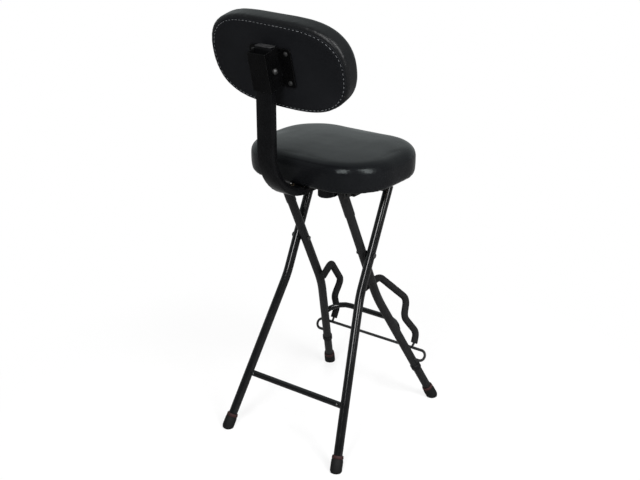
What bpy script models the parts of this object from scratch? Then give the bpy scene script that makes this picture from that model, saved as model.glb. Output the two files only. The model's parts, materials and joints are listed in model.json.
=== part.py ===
"""A folding guitar stool: crossed tube frames, a padded seat, a padded back on a bent post and a folding guitar cradle.

Metres, +Z up. The sitter faces -Y, so the back post stands on the +Y side. The origin is on the floor, midway
between the four feet.
"""

import math

import bmesh
import bpy
from mathutils import Matrix, Vector

# General clearances
GAP = 0.0003
CUT_OVERRUN = 0.004
HOLE_PLAY = 0.0003

# Crossed frames
FOOT_REACH = 0.192
PIVOT_HEIGHT = 0.404
TUBE_RADIUS = 0.0095
TUBE_WALL = 0.0012
FRAME_WASHER = 0.0016
FRONT_HALF_WIDTH = 0.0743
FOOT_HALF_WIDTH = 0.146
REAR_BEND_HEIGHT = 0.3253
FRONT_BEND_HEIGHT = 0.2805
LEG_BEND_RADIUS = 0.26
TOP_BAR_HEIGHT = 0.5335
CROSSBAR_HEIGHT = 0.1193
CROSSBAR_RADIUS = 0.0067
CROSSBAR_RIVET_INSET = 0.007
RIVET_RADIUS = 0.0022
RIVET_HEIGHT = 0.0012

# Feet
FOOT_HEIGHT = 0.028
FOOT_TOP_RADIUS = 0.0112
FOOT_BASE_RADIUS = 0.0127
FOOT_FLARE = 0.009
FOOT_SOLE = 0.007
FOOT_ROUNDING = 0.005
FOOT_BAND = 0.0016

# Lower sections of the front legs
COLLAR_HEIGHT = 0.089
COLLAR_LENGTH = 0.013
COLLAR_RADIUS = 0.0113
COLLAR_CHAMFER = 0.001
EXTENSION_RADIUS = 0.0093
EXTENSION_WALL = 0.0015
SPIGOT_LENGTH = 0.012

# Bolt that joins the frames
PIVOT_BOLT_RADIUS = 0.003
PIVOT_HEAD_RADIUS = 0.0055
PIVOT_HEAD_HEIGHT = 0.0015
PIVOT_WASHER_RADIUS = 0.0075
PIVOT_NUT_RADIUS = 0.005
PIVOT_NUT_LENGTH = 0.0026
PIVOT_NUT_CAP = 0.0008

# Footrest bar
FOOTREST_RADIUS = 0.0062
FOOTREST_HEIGHT = 0.179
FOOTREST_REACH = 0.0357
FOOTREST_BEND_RADIUS = 0.05
FOOTREST_SPLAY = 0.012
FOOTREST_INSET = 0.002

# Seat
SEAT_HALF_WIDTH = 0.1638
SEAT_HALF_DEPTH = 0.1281
SEAT_CORNER_RADIUS = 0.1015
SEAT_CENTRE_Y = 0.0019
SEAT_SIDE_HEIGHT = 0.0569
SEAT_CROWN = 0.005
SEAT_EDGE_RADIUS = 0.0204
SEAT_TUCK = 0.0035
BOARD_THICKNESS = 0.012
BOARD_INSET = 0.012
SEAT_PLATE_THICKNESS = 0.0015
SEAT_PLATE_HALF_WIDTH = 0.096
SEAT_PLATE_FRONT_MARGIN = 0.011
SEAT_PLATE_REAR_MARGIN = 0.0066
SEAT_SCREW_X = 0.045
SEAT_SCREW_FRONT_INSET = 0.02
SEAT_SCREW_REAR_INSET = 0.016
SCREW_RADIUS = 0.002
SCREW_HEAD_RADIUS = 0.0046
SCREW_HEAD_HEIGHT = 0.0024
SCREW_BITE = 0.008

# Rear hinge of the seat
CAP_RADIUS = 0.0107
CAP_LENGTH = 0.062
CAP_WALL = 0.0022
CAP_STEPS = 5
BRACKET_THICKNESS = 0.0016
BRACKET_SIDE_PLAY = 0.0006
BRACKET_TOP_PLAY = 0.0015
BRACKET_HALF_LENGTH = 0.0125
BRACKET_SKIRT = 0.0085
HINGE_BOLT_RADIUS = 0.003
HINGE_HEAD_RADIUS = 0.0055
HINGE_HEAD_HEIGHT = 0.003
HINGE_TAIL = 0.0022
HINGE_TAIL_RADIUS = 0.0042

# Rails that rest on the rear frame
RAIL_CENTRE_X = 0.075
RAIL_WIDTH = 0.025
RAIL_HEIGHT = 0.0273
RAIL_TO_HINGE = 0.0222
RAIL_HOOK_DROP = 0.007
RAIL_HOOK_THICKNESS = 0.009
RAIL_HOOK_PLAY = 0.001
RAIL_BEVEL = 0.0012

# Back post
POST_WIDTH = 0.0365
POST_THICKNESS = 0.0165
POST_WALL = 0.0015
POST_BEND_RADIUS = 0.0975
POST_FRONT_END = -0.05
POST_TOP_ABOVE_BOLT = 0.0433
POST_CORNER = 0.002
POST_PLUG_LENGTH = 0.006
POST_PLUG_LIP = 0.002

# Post receiver and clamp
RECEIVER_WALL = 0.002
RECEIVER_FRONT = -0.012
RECEIVER_REAR = 0.06
RECEIVER_FLANGE = 0.013
RECEIVER_PLAY = 0.0004
CLAMP_Y = 0.0243
CLAMP_NUT_RADIUS = 0.0075
CLAMP_NUT_HEIGHT = 0.004
CLAMP_SCREW_RADIUS = 0.0039
KNOB_RADIUS = 0.0181
KNOB_HEIGHT = 0.0232
KNOB_BELLY = 0.0014
KNOB_HUB_RADIUS = 0.0085
KNOB_HUB_HEIGHT = 0.003
KNOB_EDGE = 0.0015
KNOB_BORE_DEPTH = 0.012

# Back rest
BACK_LEAN = math.radians(14.0)
BACK_AHEAD_OF_POST = 0.0322
BACK_ABOVE_SEAT = 0.2513
BACK_HALF_WIDTH = 0.157
BACK_HALF_HEIGHT = 0.0889
BACK_THICKNESS = 0.040
BACK_CROWN = 0.004
BACK_BOW_DEPTH = 0.0089
BACK_EDGE_RADIUS = 0.0135
BACK_REAR_EDGE = 0.006
BACK_BOARD_THICKNESS = 0.009
BACK_BOARD_INSET = 0.016
BACK_COVER_THICKNESS = 0.0012
BACK_COVER_INSET = 0.0075
BACK_PLATE_WIDTH = 0.095
BACK_PLATE_HEIGHT = 0.0765
BACK_PLATE_DROP = 0.0013
BACK_PLATE_THICKNESS = 0.0025
BACK_PLATE_CORNER = 0.005
BACK_BOLT_SPACING_X = 0.074
BACK_BOLT_SPACING_Z = 0.058
BACK_BOLT_RADIUS = 0.0025
BACK_BOLT_HEAD_RADIUS = 0.0048
BACK_BOLT_HEAD_HEIGHT = 0.003
BACK_BOLT_BITE = 0.007

# Tilt bracket behind the back rest
TILT_WALL = 0.002
TILT_SIDE_PLAY = 0.0004
TILT_TOP = 0.04
TILT_FOOT = 0.0355
TILT_TOP_DEPTH = 0.043
TILT_BOLT_RADIUS = 0.0035
TILT_HEAD_RADIUS = 0.006
TILT_HEAD_HEIGHT = 0.006
TILT_NUT_RADIUS = 0.0062
TILT_NUT_LENGTH = 0.0055
TILT_BOLT_TAIL = 0.0015

# Guitar cradle
CRADLE_AXIS_HEIGHT = 0.1112
CRADLE_WIRE_RADIUS = 0.0032
CRADLE_WIRE_RISE = 0.0202
CRADLE_WIRE_AHEAD = 0.0117
CRADLE_LOOP_START = 0.0268
CRADLE_END_DEPTH = 0.009
ARM_RADIUS = 0.003
FOAM_RADIUS = 0.0078
ARM_SPREAD = 0.1101
ARM_CLOSE = 0.0558
ARM_DEPTH = 0.1135
ARM_RISE = 0.1845
ARM_BEND_RADIUS = 0.02
ARM_STUB = 0.0065
FOAM_TIP_WALL = 0.004

# Places along a cradle arm, as shares of its close, reach and rise
ARM_SHARES = (
    (0.0, 0.0, 0.0),
    (-0.03, -0.069, 0.035),
    (0.0, -0.164, 0.165),
    (0.265, 0.109, 0.414),
    (0.36, -0.052, 0.612),
    (0.82, 0.603, 1.012),
    (1.0, 1.02, 0.928),
)

# Shape of the cushions' rounded edges and crowns, as shares
EDGE_STEPS = 4
INNER_RING_SHARES = (0.78, 0.52, 0.22)
SEAT_BELLY_SHARE = 0.35
SEAT_TUCK_SHARE = 0.14
BACK_SIDE_POWER = 3.5
BACK_TOP_POWER = 2.35
BEND_MARGIN_SHARE = 0.02
FOOT_HEEL_SHARE = 0.84

# Facets
TUBE_SIDES = 14
WIRE_SIDES = 6
FOAM_SIDES = 10
ROUND_SIDES = 16
HEX_SIDES = 6
BEND_STEPS = 5
OUTLINE_STEPS = 9
BACK_OUTLINE_STEPS = 40

# Values that follow
LEAN_SLOPE = FOOT_REACH / PIVOT_HEIGHT
LEAN = math.atan(LEAN_SLOPE)
REAR_HALF_WIDTH = FRONT_HALF_WIDTH + TUBE_RADIUS * 2 + FRAME_WASHER + GAP * 2
TUBE_BORE = TUBE_RADIUS - TUBE_WALL
BAR_TOP = TOP_BAR_HEIGHT + TUBE_RADIUS + GAP
UNDER_PLATE = BAR_TOP + RAIL_HEIGHT
SEAT_PLATE_BOTTOM = UNDER_PLATE + GAP
SEAT_BOTTOM = SEAT_PLATE_BOTTOM + SEAT_PLATE_THICKNESS + GAP
HINGE_Z = UNDER_PLATE - BRACKET_THICKNESS - BRACKET_TOP_PLAY - CAP_RADIUS
HINGE_Y = -FOOT_REACH + LEAN_SLOPE * HINGE_Z
TOP_BAR_Y = FOOT_REACH - LEAN_SLOPE * TOP_BAR_HEIGHT
RAIL_REAR = HINGE_Y - RAIL_TO_HINGE
HOOK_REAR = TOP_BAR_Y - TUBE_RADIUS - RAIL_HOOK_PLAY
HOOK_FRONT = HOOK_REAR - RAIL_HOOK_THICKNESS
SEAT_PLATE_FRONT = HOOK_FRONT - SEAT_PLATE_FRONT_MARGIN
SEAT_PLATE_REAR = HINGE_Y + BRACKET_HALF_LENGTH + SEAT_PLATE_REAR_MARGIN
SEAT_SCREW_FRONT = SEAT_PLATE_FRONT + SEAT_SCREW_FRONT_INSET
SEAT_SCREW_REAR = SEAT_PLATE_REAR - SEAT_SCREW_REAR_INSET
# The post's bend clears the seat's rear edge and the plate under it
POST_REAR = SEAT_CENTRE_Y + SEAT_HALF_DEPTH + SEAT_PLATE_REAR
POST_Z = UNDER_PLATE - POST_THICKNESS / 2
POST_Y = POST_REAR - POST_THICKNESS / 2
BACK_CENTRE_Y = POST_REAR - BACK_AHEAD_OF_POST
BACK_CENTRE_Z = SEAT_BOTTOM + BACK_ABOVE_SEAT
RECEIVER_INSIDE = POST_Z - POST_THICKNESS / 2 - GAP
RECEIVER_BOTTOM = RECEIVER_INSIDE - RECEIVER_WALL
CLAMP_NUT_BOTTOM = RECEIVER_BOTTOM - CLAMP_NUT_HEIGHT
KNOB_TOP = CLAMP_NUT_BOTTOM - GAP * 2 - KNOB_HUB_HEIGHT
BACK_COVER_REAR = GAP + BACK_COVER_THICKNESS
BACK_PLATE_FRONT = BACK_COVER_REAR + GAP
BACK_PLATE_REAR = BACK_PLATE_FRONT + BACK_PLATE_THICKNESS
BACK_BOW = BACK_BOW_DEPTH / BACK_HALF_WIDTH**2
CRADLE_Y = -FOOT_REACH + LEAN_SLOPE * CRADLE_AXIS_HEIGHT

X_AXIS = Vector((1, 0, 0))
Y_AXIS = Vector((0, 1, 0))
Z_AXIS = Vector((0, 0, 1))
SIDES = (("left", 1), ("right", -1))

MATERIALS = {
    "gloss_black": ((0.012, 0.012, 0.013), 0.22, 0.0),
    "satin_black": ((0.018, 0.018, 0.020), 0.48, 0.0),
    "black_oxide": ((0.030, 0.030, 0.032), 0.35, 0.8),
    "zinc": ((0.55, 0.56, 0.57), 0.32, 1.0),
    "rubber": ((0.012, 0.012, 0.012), 0.75, 0.0),
    "vinyl": ((0.014, 0.014, 0.016), 0.30, 0.0),
    "cover_cloth": ((0.017, 0.017, 0.019), 0.85, 0.0),
    "foam": ((0.016, 0.016, 0.018), 0.9, 0.0),
    "plywood": ((0.42, 0.30, 0.18), 0.7, 0.0),
    "nylon": ((0.02, 0.02, 0.021), 0.55, 0.0),
}


def clear_scene():
    for item in list(bpy.data.objects):
        bpy.data.objects.remove(item)


def material(name):
    found = bpy.data.materials.get(name)
    if found:
        return found
    colour, roughness, metallic = MATERIALS[name]
    made = bpy.data.materials.new(name)
    made.use_nodes = True
    shader = made.node_tree.nodes["Principled BSDF"]
    shader.inputs["Base Color"].default_value = (*colour, 1)
    shader.inputs["Roughness"].default_value = roughness
    shader.inputs["Metallic"].default_value = metallic
    return made


def add_object(name, mesh_data, material_name, origin=(0, 0, 0)):
    """Makes an object of a bmesh whose points are in world places, with its origin at a joint's axis."""
    bmesh.ops.recalc_face_normals(mesh_data, faces=mesh_data.faces)
    mesh_data.transform(Matrix.Translation(-Vector(origin)))
    mesh = bpy.data.meshes.new(name)
    mesh_data.to_mesh(mesh)
    mesh_data.free()
    mesh.materials.append(material(material_name))
    mesh.shade_smooth()
    mesh.set_sharp_from_angle(angle=math.radians(40))
    made = bpy.data.objects.new(name, mesh)
    made.location = origin
    bpy.context.scene.collection.objects.link(made)
    return made


def cutter(name, mesh_data, origin=(0, 0, 0)):
    made = add_object(name, mesh_data, "nylon", origin)
    made.hide_render = True
    made.display_type = "WIRE"
    return made


def cut(target, tool):
    step = target.modifiers.new(tool.name, "BOOLEAN")
    step.operation = "DIFFERENCE"
    step.object = tool


def fillet(points, radius, steps=BEND_STEPS):
    """Rounds the corners of a run of straight stretches."""
    points = [Vector(p) for p in points]
    rounded = [points[0]]
    for index in range(1, len(points) - 1):
        before, corner, after = points[index - 1 : index + 2]
        back = (before - corner).normalized()
        ahead = (after - corner).normalized()
        half_angle = back.angle(ahead) / 2
        room_before = (before - corner).length / (1 if index == 1 else 2)
        room_after = (after - corner).length / (1 if index == len(points) - 2 else 2)
        room = min(room_before, room_after) * (1 - BEND_MARGIN_SHARE)
        setback = min(radius / math.tan(half_angle), room)
        bend_radius = setback * math.tan(half_angle)
        centre = corner + (back + ahead).normalized() * bend_radius / math.sin(half_angle)
        start = corner + back * setback - centre
        end = corner + ahead * setback - centre
        turn = start.angle(end)
        for step in range(steps + 1):
            share = step / steps
            arm = start * math.sin((1 - share) * turn) + end * math.sin(share * turn)
            rounded.append(centre + arm / math.sin(turn))
    rounded.append(points[-1])
    return rounded


def frames_along(path, side):
    """Gives a point and two cross directions at each place of a path, without twist."""
    frames = []
    side = Vector(side)
    for index, point in enumerate(path):
        before = path[max(index - 1, 0)]
        after = path[min(index + 1, len(path) - 1)]
        if 0 < index < len(path) - 1:
            ahead = ((after - point).normalized() + (point - before).normalized()).normalized()
        else:
            ahead = (after - before).normalized()
        side = (side - ahead * side.dot(ahead)).normalized()
        frames.append((point, side, ahead.cross(side)))
    return frames


def round_section(radius, sides):
    turn = 2 * math.pi / sides
    return [(radius * math.cos(i * turn), radius * math.sin(i * turn)) for i in range(sides)]


def box_section(width, thickness, corner, steps=2):
    """Gives a rectangle with rounded corners."""
    points = []
    places = ((1, 1, 0), (-1, 1, 1), (-1, -1, 2), (1, -1, 3))
    for sx, sy, quarter in places:
        for step in range(steps + 1):
            angle = (quarter + step / steps) * math.pi / 2
            across = sx * (width / 2 - corner) + corner * math.cos(angle)
            along = sy * (thickness / 2 - corner) + corner * math.sin(angle)
            points.append((across, along))
    return points


def add_rings(mesh_data, frames, section):
    return [
        [mesh_data.verts.new(point + a * u + b * v) for u, v in section]
        for point, a, b in frames
    ]


def skin_rings(mesh_data, rings):
    for low, high in zip(rings, rings[1:]):
        for i in range(len(low)):
            j = (i + 1) % len(low)
            mesh_data.faces.new((low[i], low[j], high[j], high[i]))


def sweep(path, section, side=X_AXIS, bore=None, blind_points=0):
    """Sweeps a closed section along a path. A bore makes it a tube, open at both ends unless it is blind."""
    mesh_data = bmesh.new()
    frames = frames_along([Vector(p) for p in path], side)
    outer = add_rings(mesh_data, frames, section)
    skin_rings(mesh_data, outer)
    if bore is None:
        mesh_data.faces.new(outer[0])
        mesh_data.faces.new(outer[-1])
        return mesh_data
    inner_frames = frames[: len(frames) - blind_points]
    inner = add_rings(mesh_data, inner_frames, bore)
    skin_rings(mesh_data, inner)
    skin_rings(mesh_data, [outer[0], inner[0]])
    if blind_points:
        mesh_data.faces.new(outer[-1])
        mesh_data.faces.new(inner[-1])
    else:
        skin_rings(mesh_data, [outer[-1], inner[-1]])
    return mesh_data


def tube(path, radius, wall, sides=TUBE_SIDES, side=X_AXIS):
    return sweep(path, round_section(radius, sides), side, round_section(radius - wall, sides))


def rod(path, radius, sides=TUBE_SIDES, side=X_AXIS):
    return sweep(path, round_section(radius, sides), side)


def turned(profile, start, axis, sides=ROUND_SIDES):
    """Turns a profile of (distance along the axis, radius) points into a solid. A closed profile has a bore."""
    mesh_data = bmesh.new()
    axis = Vector(axis).normalized()
    across = axis.orthogonal().normalized()
    frames = [(Vector(start) + axis * along, across, axis.cross(across)) for along, _ in profile]
    rings = []
    for frame, (_, radius) in zip(frames, profile):
        rings.append(add_rings(mesh_data, [frame], round_section(radius, sides))[0])
    skin_rings(mesh_data, rings)
    return mesh_data, rings


def turned_solid(profile, start, axis, sides=ROUND_SIDES):
    mesh_data, rings = turned(profile, start, axis, sides)
    mesh_data.faces.new(rings[0])
    mesh_data.faces.new(rings[-1])
    return mesh_data


def turned_ring(profile, start, axis, sides=ROUND_SIDES):
    mesh_data, rings = turned(profile, start, axis, sides)
    skin_rings(mesh_data, [rings[-1], rings[0]])
    return mesh_data


def prism(outline, start, across, up, along, length):
    """Extrudes an outline of (across, up) points by a length."""
    mesh_data = bmesh.new()
    start, across, up, along = Vector(start), Vector(across), Vector(up), Vector(along)
    rings = [
        [mesh_data.verts.new(start + across * u + up * v + along * reach) for u, v in outline]
        for reach in (0, length)
    ]
    skin_rings(mesh_data, rings)
    mesh_data.faces.new(rings[0])
    mesh_data.faces.new(rings[1])
    return mesh_data


def pin(start, end, radius, sides=TUBE_SIDES):
    start, end = Vector(start), Vector(end)
    return turned_solid(((0, radius), ((end - start).length, radius)), start, end - start, sides)


def leg_point(kind, half_width, height):
    """Gives the place on a leg's centre line, in the leaning plane of its frame."""
    sign = 1 if kind == "rear" else -1
    return Vector((half_width, sign * (FOOT_REACH - LEAN_SLOPE * height), height))


def lower_half_width(half_width, bend_height, height):
    return FOOT_HALF_WIDTH + (half_width - FOOT_HALF_WIDTH) * height / bend_height


REAR_LEG = ("rear", REAR_HALF_WIDTH, REAR_BEND_HEIGHT)
FRONT_LEG = ("front", FRONT_HALF_WIDTH, FRONT_BEND_HEIGHT)


def point_on(leg, height, side_sign):
    kind, half_width, bend_height = leg
    if height < bend_height:
        half_width = lower_half_width(half_width, bend_height, height)
    return leg_point(kind, side_sign * half_width, height)


def leg_axis(leg, side_sign):
    """Gives the upward direction of a leg's lower stretch."""
    bend = point_on(leg, leg[2], side_sign)
    return (bend - point_on(leg, 0, side_sign)).normalized()


def upper_axis(leg):
    sign = -1 if leg[0] == "rear" else 1
    return Vector((0, sign * LEAN_SLOPE, 1)).normalized()


def leg_route(leg, side_sign, top, foot):
    bend = point_on(leg, leg[2], side_sign)
    return fillet([foot, bend, top], LEG_BEND_RADIUS)


def foot_start(leg, side_sign):
    """Gives where a leg's tube ends inside its foot."""
    ground = point_on(leg, 0, side_sign)
    return ground + leg_axis(leg, side_sign) * FOOT_SOLE


def leg_space(name, leg, side_sign, top):
    """Makes a cutter of a leg's own space, which trims the bars that meet it."""
    route = leg_route(leg, side_sign, top, point_on(leg, 0, side_sign))
    return cutter(name, rod(route, TUBE_RADIUS + GAP))


def drill(target, name, start, end, radius, sides=TUBE_SIDES):
    """Cuts a round hole between two places."""
    cut(target, cutter(name, pin(start, end, radius + HOLE_PLAY, sides)))


def drill_across(target, name, side_sign, place, inner_x, outer_x, radius):
    """Cuts a hole that runs across the stool, between two distances from the middle."""
    start = Vector((side_sign * inner_x, place.y, place.z))
    end = Vector((side_sign * outer_x, place.y, place.z))
    drill(target, name, start, end, radius)


def add_foot(name, leg, side_sign, tube_radius, origin=(0, 0, 0)):
    """Adds a rubber foot, cut flat where it meets the floor, with a pocket for the tube."""
    axis = leg_axis(leg, side_sign)
    length = FOOT_HEIGHT / axis.z
    bore = tube_radius + GAP
    profile = (
        (-FOOT_ROUNDING, FOOT_BASE_RADIUS / 2),
        (-FOOT_ROUNDING / 2, FOOT_BASE_RADIUS * FOOT_HEEL_SHARE),
        (FOOT_ROUNDING / 2, FOOT_BASE_RADIUS),
        (length - FOOT_FLARE, FOOT_BASE_RADIUS),
        (length - FOOT_BAND, FOOT_TOP_RADIUS),
        (length, FOOT_TOP_RADIUS),
        (length, bore),
        (FOOT_SOLE - GAP, bore),
    )
    foot = turned_solid(profile, point_on(leg, 0, side_sign), axis)
    geometry = foot.verts[:] + foot.edges[:] + foot.faces[:]
    sliced = bmesh.ops.bisect_plane(
        foot, geom=geometry, plane_co=(0, 0, 0), plane_no=(0, 0, 1), clear_inner=True
    )
    rim = [item for item in sliced["geom_cut"] if isinstance(item, bmesh.types.BMEdge)]
    bmesh.ops.contextual_create(foot, geom=rim)
    add_object(name, foot, "rubber", origin)


def rear_top(side_sign):
    return point_on(REAR_LEG, TOP_BAR_HEIGHT + TUBE_RADIUS / 2, side_sign)


def add_rear_leg(name, side_sign):
    route = leg_route(REAR_LEG, side_sign, rear_top(side_sign), foot_start(REAR_LEG, side_sign))
    leg = add_object(f"rear_leg_{name}", tube(route, TUBE_RADIUS, TUBE_WALL), "gloss_black")
    inner = REAR_HALF_WIDTH - TUBE_RADIUS - CUT_OVERRUN
    outer = REAR_HALF_WIDTH + TUBE_RADIUS + CUT_OVERRUN
    hole = f"rear_pivot_hole_{name}"
    drill_across(leg, hole, side_sign, PIVOT, inner, outer, PIVOT_BOLT_RADIUS)


def add_rear_bar(name, height, radius, spaces):
    """Adds a tube between the rear legs, trimmed where it meets them."""
    ends = [point_on(REAR_LEG, height, sign) for _, sign in SIDES]
    bar = add_object(name, tube(ends, radius, TUBE_WALL, side=Z_AXIS), "gloss_black")
    for space in spaces:
        cut(bar, space)
    return bar


def add_crossbar_rivet(name, side_sign, bar):
    out = Vector((0, math.cos(LEAN), math.sin(LEAN)))
    middle = point_on(REAR_LEG, CROSSBAR_HEIGHT, side_sign)
    middle.x -= side_sign * (TUBE_RADIUS + CROSSBAR_RIVET_INSET)
    seat = middle + out * CROSSBAR_RADIUS
    stem = RIVET_RADIUS / 2
    depth = TUBE_WALL * 2
    profile = (
        (-depth, stem),
        (GAP, stem),
        (GAP, RIVET_RADIUS),
        (RIVET_HEIGHT / 2, RIVET_RADIUS),
        (RIVET_HEIGHT, stem),
    )
    rivet = turned_solid(profile, seat, out, FOAM_SIDES)
    add_object(f"crossbar_rivet_{name}", rivet, "zinc")
    drill(bar, f"rivet_hole_{name}", seat - out * depth, seat + out * depth, stem, WIRE_SIDES)


def build_rear_frame():
    spaces = []
    for name, sign in SIDES:
        add_rear_leg(name, sign)
        add_foot(f"rear_foot_{name}", REAR_LEG, sign, TUBE_RADIUS)
        spaces.append(leg_space(f"rear_leg_space_{name}", REAR_LEG, sign, rear_top(sign)))
    add_rear_bar("rear_top_bar", TOP_BAR_HEIGHT, TUBE_RADIUS, spaces)
    crossbar = add_rear_bar("rear_crossbar", CROSSBAR_HEIGHT, CROSSBAR_RADIUS, spaces)
    for name, sign in SIDES:
        add_crossbar_rivet(name, sign, crossbar)


def add_frame_bolt(name, side_sign):
    head_face = REAR_HALF_WIDTH + TUBE_RADIUS + GAP
    tip = FRONT_HALF_WIDTH - TUBE_RADIUS - GAP - PIVOT_NUT_LENGTH + PIVOT_NUT_CAP + GAP
    reach = head_face + PIVOT_HEAD_HEIGHT - tip
    start = (side_sign * (head_face + PIVOT_HEAD_HEIGHT), 0, PIVOT_HEIGHT)
    profile = (
        (0, PIVOT_HEAD_RADIUS / 2),
        (PIVOT_HEAD_HEIGHT / 3, PIVOT_HEAD_RADIUS * math.cos(math.pi / 6)),
        (PIVOT_HEAD_HEIGHT / 2, PIVOT_HEAD_RADIUS),
        (PIVOT_HEAD_HEIGHT, PIVOT_HEAD_RADIUS),
        (PIVOT_HEAD_HEIGHT, PIVOT_BOLT_RADIUS),
        (reach, PIVOT_BOLT_RADIUS),
    )
    bolt = turned_solid(profile, start, (-side_sign, 0, 0), TUBE_SIDES)
    add_object(f"frame_pivot_bolt_{name}", bolt, "zinc", PIVOT)


def add_frame_washer(name, side_sign):
    start = (side_sign * (FRONT_HALF_WIDTH + TUBE_RADIUS + GAP), 0, PIVOT_HEIGHT)
    bore = PIVOT_BOLT_RADIUS + HOLE_PLAY
    washer = washer_mesh(start, (side_sign, 0, 0), bore, PIVOT_WASHER_RADIUS, FRAME_WASHER)
    add_object(f"frame_pivot_washer_{name}", washer, "nylon", PIVOT)


def add_frame_nut(name, side_sign):
    """Adds a cap nut on the inner side of a front leg."""
    start = (side_sign * (FRONT_HALF_WIDTH - TUBE_RADIUS - GAP), 0, PIVOT_HEIGHT)
    pocket = PIVOT_NUT_LENGTH - PIVOT_NUT_CAP
    bore = PIVOT_BOLT_RADIUS + HOLE_PLAY
    profile = (
        (PIVOT_NUT_LENGTH, PIVOT_NUT_RADIUS / 2),
        (pocket, PIVOT_NUT_RADIUS),
        (0, PIVOT_NUT_RADIUS),
        (0, bore),
        (pocket, bore),
    )
    nut = turned_solid(profile, start, (-side_sign, 0, 0), FOAM_SIDES)
    add_object(f"frame_pivot_nut_{name}", nut, "zinc", PIVOT)


def build_frame_pivots():
    for name, sign in SIDES:
        add_frame_bolt(name, sign)
        add_frame_washer(name, sign)
        add_frame_nut(name, sign)


def front_top(side_sign):
    """Gives the top end of a front leg's tube, below the hinge bolt."""
    hinge = point_on(FRONT_LEG, HINGE_Z, side_sign)
    return hinge - upper_axis(FRONT_LEG) * (HINGE_BOLT_RADIUS + CAP_WALL)


def front_joint(side_sign):
    """Gives where a front leg's tube meets its lower section, inside the collar."""
    return point_on(FRONT_LEG, COLLAR_HEIGHT, side_sign)


def add_front_leg(name, side_sign):
    low = front_joint(side_sign) + leg_axis(FRONT_LEG, side_sign) * GAP
    route = leg_route(FRONT_LEG, side_sign, front_top(side_sign), low)
    leg = add_object(
        f"front_leg_{name}", tube(route, TUBE_RADIUS, TUBE_WALL), "satin_black", PIVOT
    )
    inner = FRONT_HALF_WIDTH - TUBE_RADIUS - CUT_OVERRUN
    outer = FRONT_HALF_WIDTH + TUBE_RADIUS + CUT_OVERRUN
    hole = f"front_pivot_hole_{name}"
    drill_across(leg, hole, side_sign, PIVOT, inner, outer, PIVOT_BOLT_RADIUS)
    middle = abs(point_on(FRONT_LEG, CRADLE_AXIS_HEIGHT, side_sign).x)
    outer = middle + TUBE_RADIUS * 2
    hole = f"cradle_hole_{name}"
    drill_across(leg, hole, side_sign, CRADLE_AXIS, middle, outer, CRADLE_WIRE_RADIUS)


def add_front_leg_extension(name, side_sign):
    """Adds the slimmer lower section, whose spigot sits in the leg's tube."""
    start = foot_start(FRONT_LEG, side_sign)
    shaft = (front_joint(side_sign) - start).length - GAP
    spigot = TUBE_BORE - GAP
    bore = spigot - EXTENSION_WALL
    profile = (
        (0, EXTENSION_RADIUS - EXTENSION_WALL),
        (0, EXTENSION_RADIUS),
        (shaft, EXTENSION_RADIUS),
        (shaft, spigot),
        (shaft + SPIGOT_LENGTH, spigot),
        (shaft + SPIGOT_LENGTH, bore),
        (shaft, bore),
    )
    section = turned_ring(profile, start, leg_axis(FRONT_LEG, side_sign), TUBE_SIDES)
    add_object(f"front_leg_extension_{name}", section, "satin_black", PIVOT)


def add_front_leg_collar(name, side_sign):
    """Adds the collar that covers the step between the leg and its lower section."""
    half = COLLAR_LENGTH / 2
    edge = COLLAR_RADIUS - COLLAR_CHAMFER
    profile = (
        (-half, EXTENSION_RADIUS + GAP),
        (-half, edge),
        (-half + COLLAR_CHAMFER, COLLAR_RADIUS),
        (half - COLLAR_CHAMFER, COLLAR_RADIUS),
        (half, edge),
        (half, TUBE_RADIUS + GAP),
        (0, TUBE_RADIUS + GAP),
        (0, EXTENSION_RADIUS + GAP),
    )
    axis = leg_axis(FRONT_LEG, side_sign)
    collar = turned_ring(profile, front_joint(side_sign), axis)
    add_object(f"front_leg_collar_{name}", collar, "nylon", PIVOT)


def add_front_leg_cap(name, side_sign):
    """Adds the long cap over a front leg's top, with a round end and an eye for the hinge bolt."""
    floor = GAP - HINGE_BOLT_RADIUS - CAP_WALL
    bore = TUBE_RADIUS + GAP
    turns = [math.pi / 2 * step / CAP_STEPS for step in range(CAP_STEPS)]
    dome = [(CAP_RADIUS * math.sin(a), CAP_RADIUS * math.cos(a)) for a in turns]
    profile = [(floor, bore), (-CAP_LENGTH, bore), (-CAP_LENGTH, CAP_RADIUS), *dome]
    hinge = point_on(FRONT_LEG, HINGE_Z, side_sign)
    mesh = turned_solid(profile, hinge, upper_axis(FRONT_LEG))
    cap = add_object(f"front_leg_cap_{name}", mesh, "satin_black", PIVOT)
    inner = FRONT_HALF_WIDTH - CAP_RADIUS - CUT_OVERRUN
    outer = FRONT_HALF_WIDTH + CAP_RADIUS + CUT_OVERRUN
    hole = f"cap_hole_{name}"
    drill_across(cap, hole, side_sign, HINGE, inner, outer, HINGE_BOLT_RADIUS)


def add_footrest(spaces):
    ahead = Vector((0, -math.cos(LEAN), math.sin(LEAN))) * FOOTREST_REACH
    left, right = [point_on(FRONT_LEG, FOOTREST_HEIGHT, sign) for _, sign in SIDES]
    left.x -= FOOTREST_INSET
    right.x += FOOTREST_INSET
    inward = X_AXIS * FOOTREST_SPLAY
    corners = [left, left + ahead - inward, right + ahead + inward, right]
    route = fillet(corners, FOOTREST_BEND_RADIUS)
    side = Vector((0, math.sin(LEAN), math.cos(LEAN)))
    mesh = tube(route, FOOTREST_RADIUS, TUBE_WALL, side=side)
    footrest = add_object("footrest_bar", mesh, "gloss_black", PIVOT)
    for space in spaces:
        cut(footrest, space)


def build_front_frame():
    spaces = []
    for name, sign in SIDES:
        add_front_leg(name, sign)
        add_front_leg_extension(name, sign)
        add_front_leg_collar(name, sign)
        add_front_leg_cap(name, sign)
        add_foot(f"front_foot_{name}", FRONT_LEG, sign, EXTENSION_RADIUS, PIVOT)
        spaces.append(leg_space(f"front_leg_space_{name}", FRONT_LEG, sign, front_top(sign)))
    add_footrest(spaces)


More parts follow.
